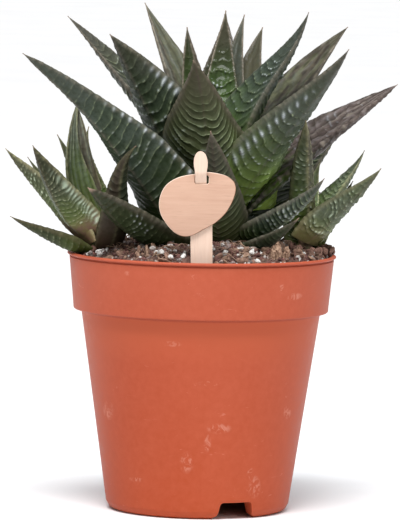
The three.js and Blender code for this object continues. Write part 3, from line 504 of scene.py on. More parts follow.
LOOKS = {
    "main_leaf_01": look(sp=3.4, amp=0.38, bead=0.6, bow=0.45, bloom=0.6, green=0.35, reach=0.45, tip=0.5, fat=0.9, rib=0.5, ridge=0.55, inset=0.93, knob=-0.4, hem=0.1, pearl=0.3, saw=0.25, rough=1.1, skin=1, plump=0.3, dots=0.35, gain=1.16, foot=0.12, dash=0.42, dash_to=0.72),
    "main_leaf_02": look(sp=3.1, amp=0.40, bead=0.25, brown=0.40, bloom=0.5, tip=0.6, edge=0.7, olive=0.25, skin=1, plump=0.5, gain=1.2, dash=0.45),
    "main_leaf_03": look(sp=3.3, amp=0.50, bead=0.6, bow=0.6, bp=1.9, bloom=0.4, brown=0.10, green=0.5, reach=0.6, tip=0.6, rib=0.35, ridge=0.8, knob=-0.25, hem=0.15, inset=0.88, saw=0.35, skin=1, dots=0.7, dash=0.45),
    "main_leaf_04": look(sp=3.0, amp=0.10, bead=0.2, brown=0.05, strip=-0.5, bloom=0.45, green=0.15, tip=0.4, ridge=0.06, olive=0.9, even=0.5, pearl=0.0, skin=1, gain=1.45, streak=0.9, ts=1.0, strands=3.0, lmar=0.3, mott=0.4),
    "main_leaf_05": look(sp=4.0, amp=0.34, bead=0.5, green=0.8, reach=1.0, brown=0.05, strip=0.45, edge=0.9, tip=0.5, ridge=0.7, bloom=0.1, lmar=0.9, thin=0.9),
    "main_leaf_06": look(sp=2.7, amp=0.44, bead=0.3, bow=0.85, bp=2.6, green=0.75, reach=0.55, brown=0.10, bloom=0.10, tip=0.5, olive=0.30, thin=0.93, thin_from=0.42, inset=0.58, ridge=0.95, rib=0.0, pearl=0.45, fresh=0.85, skin=1, gain=1.12, gain_base=1.35),
    "main_leaf_07": look(sp=2.2, amp=0.22, bead=0.1, bow=0.7, bp=2.0, brown=0.30, green=0.45, reach=0.7, tip=0.5, ridge=0.50, olive=0.3, inset=0.6, pearl=0.0, skin=1),
    "main_leaf_08": look(sp=3.9, amp=0.52, bead=0.8, bow=0.45, bp=2.2, green=1.0, reach=0.9, bloom=0.10, brown=0.05, tip=0.6, bead_sp=1.5, ridge=1.0, inset=0.7, thin=0.95, pearl=0.9, fresh=0.6, thin_from=0.5, lmar=0.8, rmar=0.4, gain=1.08, gain_base=1.35),
    "main_leaf_09": look(sp=3.6, amp=0.25, bead=0.5, green=0.4, brown=0.4, bloom=0.2, olive=0.3),
    "main_leaf_10": look(sp=3.2, amp=0.07, bead=0.3, bloom=0.6, green=0.1, ridge=0.06, edge=0.9, olive=0.5, even=0.4, pearl=0.0, skin=1, rmar=0.6, streak=0.4, ts=1.0, strands=2.5),
    "main_leaf_11": look(sp=3.2, amp=0.05, bead=0.3, bloom=0.25, green=0.25, ridge=0.05, edge=0.9, brown=0.1, olive=0.9, even=0.2, pearl=0.0, skin=1, streak=0.4, ts=1.0, strands=2.5, gain=1.0),
    "main_leaf_12": look(sp=3.4, amp=0.48, bead=0.75, bow=0.50, bp=1.9, bloom=0.6, green=0.70, reach=0.60, tip=0.5, ridge=0.6, bead_sp=1.5, pearl=0.8, fresh=0.25),
    "main_leaf_13": look(sp=3.2, amp=0.06, bead=0.3, bloom=0.30, green=0.5, ridge=0.04, brown=0.25, olive=0.8, even=0.5, pearl=0.0, skin=1, streak=0.5, ts=1.0, strands=3.2, wave=1.8, mott=1.2, reach=0.9, gain=1.2, saw=0.2, rough=2.4),
    "main_leaf_14": look(sp=3.6, amp=0.52, bead=0.9, bow=0.60, bp=2.0, bloom=0.6, green=0.75, reach=0.65, tip=0.6, olive=0.25, ridge=0.95, bead_sp=1.6, knob=0.3, hem=0.2, inset=0.9, pearl=0.6, fresh=0.75, saw=0.35, thin=0.95, thin_from=0.45, gain_base=1.6, dash=0.4, dots=2.3, flare=-0.4, glow=1.3),
    "main_leaf_15": look(sp=2.6, amp=0.16, bead=0.15, bow=0.3, brown=0.90, bloom=0.25, green=0.8, rough=2.0, edge=0.15, tip=0.6, ridge=0.12, streak=2.2, pearl=0.3, skin=2, plump=0.4, ts=1.0, strands=3.6, wave=2.6, mott=0.7, hem=0.0, lobe=0.55, gain=0.76, brown_from=0.36, reach=0.6, fresh=0.4, gain_base=0.9, gain_tip=1.25),
    "main_leaf_16": look(sp=1.9, amp=0.40, bead=0.45, bow=0.3, green=0.25, bloom=0.7, tip=0.3, ridge=1.0, brown=0.05, pearl=0.8, rough=2.4, gain=1.1),
    "main_leaf_17": look(sp=1.8, amp=0.16, bead=0.4, bow=0.2, green=0.35, bloom=0.35, tip=0.3, dry=0.4, ridge=0.3, pearl=0.2, gain=1.1),
    "main_leaf_18": look(sp=2.4, amp=0.24, bead=0.8, bow=0.3, green=0.20, bloom=0.12, tip=0.2, dry=0.9, bead_sp=1.4, ridge=0.5, pearl=1.0, gain=0.95, rough=2.4),
    "left_leaf_01": look(sp=1.7, amp=0.22, bead=0.95, bow=0.3, green=0.9, reach=0.75, brown=0.2, edge=0.8, bead_sp=1.2, base_brown=1.0, tip=0.2, ridge=1.1, rough=3.4, knob=0.2, inset=0.9, pearl=0.9, foot=0.3, base_len=0.42, fresh=0.35, plump=0.5, gain=1.65, gain_base=1.5, gain_tip=0.85, bloom=0.3),
    "left_leaf_03": look(sp=1.7, amp=0.2, bead=0.95, bow=0.3, green=0.9, reach=0.75, brown=0.2, edge=0.8, bead_sp=1.15, base_brown=1.1, tip=0.2, ridge=1.15, rough=4.0, knob=-0.2, inset=0.9, pearl=1.0, foot=0.3, base_len=0.36, fresh=0.35, gain=1.05, thin=0.5, plump=0.3, gain_base=2.0, gain_tip=0.65),
    "left_leaf_05": look(sp=2.4, amp=0.06, bead=0.6, bow=0.3, green=0.7, reach=1.1, brown=0.1, streak=1.1, edge=0.6, base_brown=0.2, tip=0.3, ridge=0.05, olive=0.2, bloom=0.7, rib=0.7, pearl=0.0, fresh=0.5, skin=0, ts=1.0, strands=5.5, cut=1, gain=1.9, wave=0.8),
    "left_leaf_07": look(sp=2.6, amp=0.2, bead=0.2, bow=0.3, green=0.2, left=0.9, bloom=0.5, base_brown=0.8, tip=0.4, ridge=0.35, rib=0.8, foot=0.5, base_len=0.45, gain=0.55, skin=0),
    "left_leaf_08": look(sp=2.1, amp=0.2, bead=0.8, bow=0.3, green=0.35, bloom=0.15, tip=0.3, base_brown=0.1, bead_sp=1.3, pearl=0.3, ridge=0.45, gain=0.95, edge=0.3),
    "right_leaf_01": look(sp=2.4, amp=0.42, bead=1.0, bow=0.3, green=1.0, reach=1.1, bead_sp=1.4, tip=0.3, edge=0.6, rib=1.0, rough=3.6, pearl=1.3, right=0.6, fresh=0.8, skin=1, gain=0.95, lmar=0.6, bloom=0.6, olive=0.0, gain_base=1.1, ridge=1.3),
    "right_leaf_03": look(sp=1.9, amp=0.32, bead=0.85, bow=0.3, green=0.85, reach=1.1, bloom=0.8, bead_sp=1.3, tip=0.2, ridge=0.95, rough=3.0, inset=0.9, pearl=1.0, fresh=0.5, gain=1.3, gain_top=1.35),
    "right_leaf_04": look(sp=2.2, amp=0.4, bead=0.85, bow=0.3, green=0.5, reach=1.1, bloom=0.7, bead_sp=1.3, base_brown=0.5, tip=0.2, olive=0.3, ridge=0.95, rough=3.6, inset=0.9, pearl=0.7, foot=0.14, fresh=0.0, gain=1.0, base_side=0, base_len=0.28, gain_base=1.7, rmar=0.0, lmar=0.6),
    "right_leaf_02": look(sp=1.8, amp=0.26, bead=0.9, rough=3.0, fresh=0.9, bow=0.3, green=1.0, reach=1.2, bead_sp=1.3, tip=0.3, gain=4.3, gain_top=1.3, bloom=0.7),
}
OFFSET_LOOK = look(sp=1.8, amp=0.30, bead=0.9, rough=3.0, fresh=0.3, bow=0.3, green=0.7, reach=1.0, bead_sp=1.3, base_brown=0.4, tip=0.25)


def leaf(row, index):
    name, p0, p1, p2, p3, az, tw0, tw1, half, thick, peak, taper, base, keel = row
    own = LOOKS.get(name) or (look(sp=3.2, bead=0.4) if name.startswith("main") else OFFSET_LOOK)
    pts = np.array([p0, p1, p2, p3], float)

    def bez(t):
        t = t[:, None]
        a = 1 - t
        return a**3 * pts[0] + 3 * a * a * t * pts[1] + 3 * a * t * t * pts[2] + t**3 * pts[3]

    def dbez(t):
        t = t[:, None]
        a = 1 - t
        return 3 * a * a * (pts[1] - pts[0]) + 6 * a * t * (pts[2] - pts[1]) + 3 * t * t * (pts[3] - pts[2])

    tt = np.linspace(0, 1, 801)
    cc = bez(tt)
    run = np.concatenate([[0], np.cumsum(np.linalg.norm(np.diff(cc, axis=0), axis=1))])
    length = run[-1]
    step = 0.30 if half > 9 else 0.27 if half > 6.5 else 0.24
    n = int(length / step) + 2
    arc = np.linspace(0, length, n)
    t = np.interp(arc, run, tt)

    k = 36 if half > 9 else 30 if half > 6.5 else 24
    u = np.linspace(-1, 1, k + 1)
    su = 0.45 * np.sin(u * math.pi / 2) + 0.55 * u
    # once round: over the upper face from one margin to the other, back under the keel
    s = np.concatenate([su, su[::-1][1:-1]])
    upper = np.concatenate([np.ones(k + 1, bool), np.zeros(k - 1, bool)])

    centre = bez(t)
    along = dbez(t)
    along /= np.linalg.norm(along, axis=1)[:, None]
    up0 = np.array([-math.cos(az), -math.sin(az), 1.0]) / math.sqrt(2)
    across = np.cross(along, up0)
    across /= np.linalg.norm(across, axis=1)[:, None]
    up = np.cross(across, along)
    tw = (tw0 + (tw1 - tw0) * t)[:, None]
    side = across * np.cos(tw) + up * np.sin(tw)
    face = -across * np.sin(tw) + up * np.cos(tw)
    f = np.where(t < peak, base + (1 - base) * np.sin(t / peak * math.pi / 2),
                 1 - np.clip((t - peak) / (1 - peak), 0, 1) ** taper)
    full = 0.5 + 0.5 * np.sin(np.minimum(1, t / 0.3) * math.pi / 2)
    w = np.maximum(half * f, 0.22)
    th = np.maximum(thick * f * full, 0.2)
    if own["fat"]:
        # a fuller point than the straight taper gives
        swell = own["fat"] * smooth(0.62, 0.86, t) * smooth(1.0, 0.93, t)
        w, th = w + swell, th + swell * 0.9

    soft = np.sqrt(s * s + 0.0016) - 0.04 * np.abs(s)
    zu = -0.12 * (1 - s * s) + 0.16 * s * s * np.sqrt(np.clip(1 - s * s, 0, 1))
    zl = -((1 - own["plump"]) * (1 - soft) + own["plump"] * np.sqrt(np.clip(1 - s * s, 0, 1)))
    z = np.where(upper, zu, zl)
    x = np.where(upper, s, s + keel * (1 - s * s))
    spread = 1 + abs(own["flare"]) * smooth(0.36, 0.10, t)[:, None] * smooth(0.0, 0.8, s * np.sign(own["flare"]))[None]
    grid = centre[:, None] + side[:, None] * (w[:, None] * x * spread)[..., None] + face[:, None] * (th[:, None] * (z + 0.4))[..., None]

    # outward normals of the plain surface
    dl = np.gradient(grid, axis=0)
    ds = np.roll(grid, -1, axis=1) - np.roll(grid, 1, axis=1)
    nrm = np.cross(dl, ds)
    nrm /= np.maximum(np.linalg.norm(nrm, axis=2), 1e-9)[..., None]
    mid = n // 2
    if np.sum(nrm[mid] * (grid[mid] - grid[mid].mean(0))) < 0:
        nrm = -nrm

    # cross ridges: arcs that dip to the base at the keel and run up to the tip at the margins
    seed = 31 * (index + 3)
    rng = np.random.default_rng(900 + index)
    A = arc[:, None] * np.ones_like(s)[None]
    S = np.ones(n)[:, None] * s[None]
    lat = S * w[:, None]
    U = upper[None] & np.ones((n, 1), bool)
    wm = np.maximum(w[:, None], 1.0)
    bow = own["bow"] * wm * np.abs(S) ** own["bp"]
    slope = own["bow"] * own["bp"] * np.abs(S) ** (own["bp"] - 1)
    sp = own["sp"] * (0.80 + 0.20 * smooth(0, 0.5, f))[:, None]
    mean_sp = own["sp"]
    wob = own["rough"] * mean_sp * (0.50 * (noise2(A / 7.0, lat / 4.5 + 40 * U, seed) - 0.5)
                                    + 0.22 * (noise2(A / 2.4, lat / 1.8 + 40 * U, seed + 5) - 0.5))
    shift = np.where(U, rng.uniform(0, 1), np.where(S > 0, rng.uniform(-0.25, 0.25), 0)) * mean_sp
    stretch_arc = np.cumsum(np.full(n, arc[1] - arc[0]) / sp[:, 0])[:, None]
    ph = stretch_arc + (shift + wob - bow) / mean_sp
    kk = np.round(ph)
    d = (ph - kk) * sp / np.sqrt(1 + slope * slope)
    frac = ph - np.floor(ph)
    level = 0.62 + 0.62 * (0.6 * noise2(kk * 7.31 + 11, lat / 3.6 + 30 * U, seed + 9)
                           + 0.4 * noise2(kk * 5.17 + 3, lat / 1.3 + 30 * U, seed + 10) - 0.36)
    beads = 0.5 + 0.5 * np.cos(2 * math.pi * (lat / own["bead_sp"] + kk * 0.37 + 0.6 * noise2(kk * 3.1, lat / 3, seed + 2)))
    beads = 1 - own["bead"] * (1 - beads)
    sigma = 0.26 + 0.08 * (mean_sp / 3.3)
    level = (0.62 + 2.1 * (level - 0.62)) * (1 - own["thin"] * smooth(own["thin_from"], 0.92, t)[:, None])
    level = level * (0.12 + 0.88 * smooth(1.0, own["inset"], np.abs(S)))
    if own["foot"]:
        level = level * smooth(0.45 * own["foot"], own["foot"], t)[:, None]
    strength = np.clip(level, 0.05, 1.3) * beads
    # steep towards the base, longer towards the tip
    crest = np.exp(-((d / np.where(d < 0, 0.72 * sigma, 1.55 * sigma)) ** 2)) * strength
    fade = smooth(0.0, 2.5, w)[:, None] * smooth(0.0, 3.0, A) * smooth(0, 2.0, length - A)
    amp = own["amp"] * np.where(U, own["top"], 1.0) * fade
    broad = 0.5 + 0.5 * np.cos(2 * math.pi * (ph - kk))
    height = amp * (0.95 * crest + 0.16 * broad * level - 0.16)
    height += own["saw"] * amp * (0.5 - frac) * smooth(0, 0.10, 1 - frac) * np.clip(level, 0, 1.2)
    if own["knob"]:
        # swollen ends of the ridges on one shoulder
        shoulder = np.exp(-(((S * np.sign(own["knob"]) * w[:, None] - w[:, None] + own["dots"]) / (own["dash"] * (1 + 0.92 * own["dots"] * (1 - t[:, None])))) ** 2)) * ~U
        height += abs(own["knob"]) * np.exp(-((d / 0.62) ** 2)) * shoulder * (0.5 + 0.6 * noise2(kk * 3.3 + 5, 0.5 * S, seed + 71)) * fade
    # pale dots on strong beads: partly white tubercles, partly painted glints
    pearl = own["pearl"] * np.exp(-(((d - 0.12) / 0.30) ** 2)) * smooth(0.45, 0.95, strength) * smooth(0.55, 0.85, beads)
    pearl = pearl * smooth(0.50, 0.62, fbm2(A / 5.0, lat / 3.5 + 9, seed + 81, 2)) * fade
    # painted glints along one shoulder, on the swollen ridge ends
    if own["knob"]:
        pearl = pearl + 0.85 * shoulder * np.exp(-(((d - 0.1) / 0.42) ** 2)) * smooth(0.05, 0.40, noise2(kk * 3.3 + 5, 0.5 * S, seed + 71)) * fade * smooth(0.10, 0.2, t)[:, None] * smooth(own["dash_to"], own["dash_to"] - 0.18, t)[:, None]
    # a little unevenness of the flesh, and teeth along margins and keel
    height += 0.22 * own["even"] * (fbm2(A / 6.0, lat / 5.0 + 25 * U, seed + 21, 3) - 0.5) * fade
    height += 0.05 * own["rough"] * own["even"] * (noise2(A / 0.9, lat / 0.9 + 25 * U, seed + 23) - 0.5) * fade
    edge_mm = (1 - np.abs(S)) * w[:, None]
    near_edge = np.exp(-((edge_mm / 0.55) ** 2))
    near_keel = np.where(U, 0.0, np.exp(-((S * w[:, None] / 0.5) ** 2)))
    tooth = np.clip(1.9 * noise2(A / 0.62, 9.0 * np.sign(S) + 3, seed + 51) - 0.45, 0, 1)
    height += 0.13 * near_edge * (tooth - 0.3) * fade * min(1.0, own["amp"] / 0.3 + 0.3)
    if own["streak"]:
        groove = np.cos(S * math.pi * own["strands"] + own["wave"] * 3.0 * (noise2(A / 7, lat / 4, seed + 31) - 0.5) + own["wave"] * 1.3 * noise2(A / 2.2, lat / 1.6, seed + 32))
        height += 0.10 * own["streak"] * groove * fade * np.where(U, own["ts"], 1.0)
    if own["cut"]:
        # a fold that runs from the middle of the tip to one side of the foot
        at = np.interp(t, [0.0, 0.33, 0.42, 0.52, 0.63, 0.76, 0.85, 1.0], [0.62, 0.58, 0.48, 0.30, 0.12, -0.05, -0.07, -0.05])[:, None]
        off = (S - at) * w[:, None]
        height += (0.45 * np.exp(-((off / 0.55) ** 2)) - 0.55 * np.exp(-(((off - 1.1) / 0.75) ** 2))) * U * fade
    if own["lobe"]:
        height += own["lobe"] * near_edge * (0.5 + 0.5 * np.cos(2 * math.pi * A / 2.5 + 3 * noise2(A / 6, 2.0, seed + 33))) * (S > 0) * fade
    grid = grid + nrm * height[..., None]

    # where each finish lies
    T = t[:, None] * np.ones_like(S)
    blot = fbm2(A / 8.0, lat / 6.0 + 25 * U, seed + 41, 3)
    ridge = np.clip(np.clip(strength, 0, 1.3) ** (1 + 0.9 * own["bead"]) * own["ridge"], 0, 1.2) * fade
    green = own["green"] * smooth(own["reach"], 0.05, T + 0.25 * (blot - 0.5))
    brown = own["brown"] * (0.6 + 0.8 * blot) + own["tip"] * smooth(0.55, 1.0, T + 0.2 * (blot - 0.5))
    brown = brown + np.where(~U & (S > 0.0), own["left"], 0) * smooth(0, 0.1, S) + np.where(~U & (S < 0.0), own["right"], 0) * smooth(0, 0.1, -S)
    if own["brown_from"]:
        brown = brown * smooth(own["brown_from"] - 0.06, own["brown_from"] + 0.10, T + 0.10 * (blot - 0.5))
    if own["strip"]:
        side_s = S * np.sign(own["strip"])
        turn = side_s - (1 - abs(own["strip"])) + 0.06 * (blot - 0.5)
        brown = brown + 0.8 * smooth(0, 0.08, turn)
    if own["cut"]:
        brown = brown + 0.85 * smooth(0.0, 0.5, off) * U
    brown = brown + np.where(S * own["base_side"] >= 0, 1.0, 0.0) * own["base_brown"] * smooth(own["base_len"], 0.3 * own["base_len"], T + 0.12 * (blot - 0.5)) + 0.30 * near_keel
    # grey-blue tint, partly painted sheen
    bloom = own["bloom"] * (0.35 + 0.9 * blot) * smooth(0.02, 0.4, T)
    brown = brown + own["hem"] * smooth(0.76, 0.95, np.abs(S)) * smooth(0.03, 0.25, T)
    edge = own["edge"] * near_edge * (0.45 + 0.55 * tooth)
    edge = edge + own["rib"] * near_keel * (0.4 + 0.6 * smooth(0.3, 0.6, noise2(A / 1.1, 5.0, seed + 61)))
    if own["strip"]:
        edge = edge + 0.7 * np.exp(-((turn * w[:, None] / 0.30) ** 2))
    edge = edge + (own["lmar"] * (S < 0) + own["rmar"] * (S > 0)) * np.exp(-(((edge_mm - 0.2) / 0.28) ** 2))
    # brightness: partly the leaf's own tone, partly painted light lifting shaded parts, namely the foot, the upper face
    # and one lower flank
    gain = own["gain"] * (1 + (own["gain_base"] - 1) * smooth(0.36, 0.14, T)) * (1 + own["glow"] * smooth(0.46, 0.20, T) * smooth(0.1, 0.5, S * np.sign(own["flare"]))) * (1 + (own["gain_tip"] - 1) * smooth(0.50, 0.85, T)) * np.where(U, own["gain_top"], 1.0)
    # lengthwise strands: painted sheen on their crests and painted shade in their troughs; the pale lines along the
    # crests are the skin's own
    if own["streak"]:
        tone = np.where(U, own["ts"], 1.0)
        bloom = bloom + own["streak"] * 0.5 * np.clip(groove, 0, 1) ** 3 * tone
        edge = edge + own["streak"] * 0.40 * np.clip(groove, 0, 1) ** 6 * tone * smooth(0.35, 0.6, noise2(A / 5.0, lat / 1.2, seed + 91))
        gain = gain * (1 - 0.45 * np.clip(-groove, 0, 1) ** 2 * np.clip(tone * own["streak"], 0, 1))
    if own["mott"]:
        patch = fbm2(A / 7.0, lat / 1.7 + 25 * U, seed + 95, 3)
        brown = brown + own["mott"] * smooth(0.46, 0.60, patch)
        gain = gain * (1 + 0.5 * own["mott"] * (smooth(0.35, 0.7, fbm2(A / 3.0, lat / 1.0 + 25 * U, seed + 96, 3)) - 0.4))
    # painted shade in the valley beside the fold, and darker towards the far margin
    if own["cut"]:
        edge = edge + 0.55 * np.exp(-((off / 0.30) ** 2)) * U
        gain = gain * (1 - 0.55 * np.exp(-(((off - 0.9) / 0.5) ** 2)) * U) * (1 - 0.4 * smooth(-0.70, -0.82, S) * U)
    dry = own["dry"] * smooth(3.5, 0.5, length - A) + 0.55 * smooth(1.6, 0.2, length - A)

    m = grid.shape[1]
    verts = grid.reshape(-1, 3)
    a = np.arange(n - 1)[:, None] * m
    j = np.arange(m)[None]
    j2 = (j + 1) % m
    quads = np.stack([a + j, a + j2, a + m + j2, a + m + j], 2).reshape(-1, 4)
    faces = quads.tolist()
    top = len(verts)
    point = centre[-1] + along[-1] * 0.0
    verts = np.vstack([verts, centre[0][None], point[None]])
    for q in range(m):
        faces.append([(q + 1) % m, q, top])
        faces.append([(n - 1) * m + q, (n - 1) * m + (q + 1) % m, top + 1])

    def with_caps(v):
        v = np.clip(v, 0, 1).reshape(-1)
        return np.concatenate([v, [0.0, v[-1]]])

    def raw_caps(v):
        v = v.reshape(-1)
        return np.concatenate([v, [v[0], v[-1]]])

    ob = new_object(name + "_skin", verts, faces)
    outward(ob.data)
    ob.data.shade_smooth()
    put_vectors(ob.data, "look_a", np.stack([with_caps(ridge), with_caps(green), with_caps(brown)], 1))
    put_vectors(ob.data, "look_b", np.stack([with_caps(bloom), with_caps(edge), with_caps(dry)], 1))
    pitch_mm = sp / np.sqrt(1 + slope * slope) * np.ones_like(ph)
    put_vectors(ob.data, "look_c", np.stack([raw_caps(ph), raw_caps(pitch_mm), raw_caps(np.clip(own["olive"] * (0.6 + 0.8 * blot), 0, 1))], 1))
    put_vectors(ob.data, "look_d", np.stack([with_caps(pearl), with_caps(own["fresh"] * smooth(0.55, 0.10, T + 0.2 * (blot - 0.5))), raw_caps(np.broadcast_to(gain, pearl.shape))], 1))
    ob.data.materials.append(((LEAF, LEAF_DULL, LEAF_BROWN) if name.startswith("main") else (OFFSET, OFFSET_GLOSS))[own["skin"]])
    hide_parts(name)
    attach(ob, "root")
    return ob


for i, row in enumerate(LEAVES):
    leaf(row, i)


# ---------------------------------------------------------------------------
# pot
# ---------------------------------------------------------------------------
def inner(z):
    if z >= BAND_BOTTOM + 1.6:
        return BAND_BOTTOM_R - WALL + (BAND_TOP_R - BAND_BOTTOM_R) * (z - BAND_BOTTOM) / (HEIGHT - LIP_T - BAND_BOTTOM)
    return BODY_BOTTOM - WALL + (BODY_TOP - BODY_BOTTOM) * z / BAND_BOTTOM


def body(z):
    return BODY_BOTTOM + (BODY_TOP - BODY_BOTTOM) * z / BAND_BOTTOM


def rounded(points, radius=0.3, steps=3):
    """The open profile with each of its corners rounded."""
    out = [points[0]]
    for a, b, c in zip(points, points[1:], points[2:]):
        a, b, c = map(np.array, (a, b, c))
        la, lc = np.linalg.norm(a - b), np.linalg.norm(c - b)
        r = min(radius, 0.42 * la, 0.42 * lc)
        p, q = b + (a - b) / la * r, b + (c - b) / lc * r
        for i in range(steps + 1):
            v = i / steps
            out.append(tuple((1 - v) ** 2 * p + 2 * v * (1 - v) * b + v * v * q))
    out.append(points[-1])
    return out


def dense(points, longest):
    out = [points[0]]
    for a, b in zip(points, points[1:]):
        a, b = np.array(a), np.array(b)
        k = max(1, int(np.linalg.norm(b - a) / longest))
        out += [tuple(a + (b - a) * i / k) for i in range(1, k + 1)]
    return out


def lathe(profile, segments):
    n = len(profile)
    ang = np.linspace(0, 2 * math.pi, segments, endpoint=False)
    verts, rings = [], []
    for r, z in profile:
        if r < 1e-6:
            rings.append([len(verts)])
            verts.append((0, 0, z))
        else:
            rings.append(list(range(len(verts), len(verts) + segments)))
            verts += [(r * math.cos(a), r * math.sin(a), z) for a in ang]
    faces = []
    for p, q in zip(rings, rings[1:]):
        for i in range(segments):
            j = (i + 1) % segments
            if len(p) == 1:
                faces.append([p[0], q[i], q[j]])
            elif len(q) == 1:
                faces.append([p[i], q[0], p[j]])
            else:
                faces.append([p[i], q[i], q[j], p[j]])
    return verts, faces


def make_pot():
    top = HEIGHT - LIP_T
    ft = FLOOR_UNDER + FLOOR_T
    profile = [
        (0, FLOOR_UNDER), (25.0, FLOOR_UNDER), (26.2, 0), (28.1, 0), (29.3, 0.7), (body(2.4), 2.4),
        (body(65), 65), (39.75, 65.95), (41.85, 66.0), (42.12, 66.35),
        (42.25, 68.2), (BAND_TOP_R, top - 0.10), (BAND_TOP_R - 0.35, top + 0.18), (BAND_TOP_R - 0.30, top + 0.50), (44.05, top + 0.55), (44.40, top + 0.85), (44.40, HEIGHT - 0.35),
        (44.05, HEIGHT), (inner(HEIGHT) + 0.25, HEIGHT), (inner(HEIGHT), HEIGHT - 0.5), (inner(BAND_BOTTOM + 1.6), BAND_BOTTOM + 1.6),
        (inner(BAND_BOTTOM), BAND_BOTTOM), (inner(ft + 2.2), ft + 2.2), (inner(ft) - 1.6, ft), (0, ft),
    ]
    profile = dense(rounded(profile, 0.30, 3), 4.0)
    verts, faces = lathe(profile, 240)
    ob = new_object("nursery_pot", verts, faces)
    outward(ob.data)

    bm = bmesh.new()
    for i in range(6):
        a = i / 5 * 2 * math.pi
        x, y = (17.0 * math.cos(a), 17.0 * math.sin(a)) if i < 5 else (0, 0)
        bmesh.ops.create_cone(bm, cap_ends=True, segments=48, radius1=3.4, radius2=3.4, depth=8,
                              matrix=Matrix.Translation((x, y, FLOOR_UNDER)))
    th, bh, h = 5.4, 6.6, 5.5
    half = [(-bh - 1.6, -1), (bh + 1.6, -1), (bh + 1.0, 0.2), (bh - 0.4, 1.3), (th + 0.25, h - 0.9), (th - 0.1, h - 0.25),
            (th - 0.8, h), (-th + 0.8, h), (-th + 0.1, h - 0.25), (-th - 0.25, h - 0.9), (-bh + 0.4, 1.3), (-bh - 1.0, 0.2)]
    for az in (-65, 115):
        turn = Matrix.Rotation(math.radians(az + 90), 4, "Z")
        front = [bm.verts.new(turn @ Vector((x, -31.6, z))) for x, z in half]
        back = [bm.verts.new(turn @ Vector((x, -22.6, z))) for x, z in half]
        bm.faces.new(front)
        bm.faces.new(back[::-1])
        for i in range(len(half)):
            j = (i + 1) % len(half)
            bm.faces.new([front[j], front[i], back[i], back[j]])
    bmesh.ops.recalc_face_normals(bm, faces=bm.faces)
    bmesh.ops.scale(bm, vec=(MM, MM, MM), verts=bm.verts)
    cut = bpy.data.meshes.new("pot_cutter")
    bm.to_mesh(cut)
    bm.free()
    cutter = bpy.data.objects.new("pot_cutter", cut)
    scene.collection.objects.link(cutter)
    mod = ob.modifiers.new("holes", "BOOLEAN")
    mod.operation, mod.solver, mod.object = "DIFFERENCE", "EXACT", cutter
    applied(ob)
    bpy.data.objects.remove(cutter)
    sharpen(ob.data, 40)
    ob.data.materials.clear()
    ob.data.materials.append(PLASTIC)
    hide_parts("pot")
    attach(ob, "root")
    return ob


make_pot()


# ---------------------------------------------------------------------------
# potting mix
# ---------------------------------------------------------------------------
def soil_height(x, y):
    r = np.hypot(x, y)
    pr = [p[0] for p in SOIL_TOP] + [inner(SOIL_EDGE) - GAP]
    pz = [p[1] for p in SOIL_TOP] + [SOIL_EDGE]
    z = np.interp(r, pr, pz)
    rough = 2.0 * (fbm2(x / 7.0 + 50, y / 7.0 + 50, 71, 4) - 0.5) + 1.1 * (fbm2(x / 1.9 + 90, y / 1.9 + 90, 72, 3) - 0.5)
    calm = smooth(inner(SOIL_EDGE) - GAP, 38.0, r)
    hollow = 2.7 * np.exp(-(((x + 0.4) / 4.6) ** 4)) * smooth(-34.6, -36.2, y)
    return z + rough * (0.25 + 0.75 * calm) * 0.9 - 0.25 - hollow


def make_soil():
    rmax = inner(SOIL_EDGE) - GAP
    rings, seg = 105, 300
    rr = np.concatenate([[0.0], np.linspace(0.4, rmax, rings)])
    verts, faces, shade = [], [], []
    ang = np.linspace(0, 2 * math.pi, seg, endpoint=False)
    verts.append((0, 0, float(soil_height(np.array([0.0]), np.array([0.0]))[0])))
    for r in rr[1:]:
        x, y = r * np.cos(ang), r * np.sin(ang)
        z = soil_height(x, y)
        verts += list(zip(x, y, z))
    for i in range(seg):
        faces.append([0, 1 + i, 1 + (i + 1) % seg])
    for k in range(1, len(rr) - 1):
        a, b = 1 + (k - 1) * seg, 1 + k * seg
        for i in range(seg):
            j = (i + 1) % seg
            faces.append([a + i, b + i, b + j, a + j])
    last = 1 + (len(rr) - 2) * seg
    ft = FLOOR_UNDER + FLOOR_T + GAP
    low = [(inner(BAND_BOTTOM + 1.6) - GAP, BAND_BOTTOM + 1.6), (inner(BAND_BOTTOM) - GAP, BAND_BOTTOM), (inner(ft + 2.2) - GAP, ft + 2.2), (inner(ft) - GAP - 1.9, ft)]
    for r, z in low:
        start = len(verts)
        verts += [(r * math.cos(a), r * math.sin(a), z) for a in ang]
        for i in range(seg):
            j = (i + 1) % seg
            faces.append([last + i, start + i, start + j, last + j])
        last = start
    verts.append((0, 0, ft))
    for i in range(seg):
        faces.append([last + i, len(verts) - 1, last + (i + 1) % seg])
    ob = new_object("potting_mix_bed", verts, faces)
    outward(ob.data)
    ob.data.shade_smooth()
    v = np.array(verts)
    # painted shade in the low spots of the bed's fine relief
    hollow = np.clip(0.5 - 1.3 * (fbm2(v[:, 0] / 1.9 + 90, v[:, 1] / 1.9 + 90, 72, 3) - 0.42), 0, 1)
    put_vectors(ob.data, "look_a", np.stack([0 * hollow, hollow, 0 * hollow], 1))
    ob.data.materials.append(PEAT)
    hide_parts("soil")
    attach(ob, "root")


make_soil()


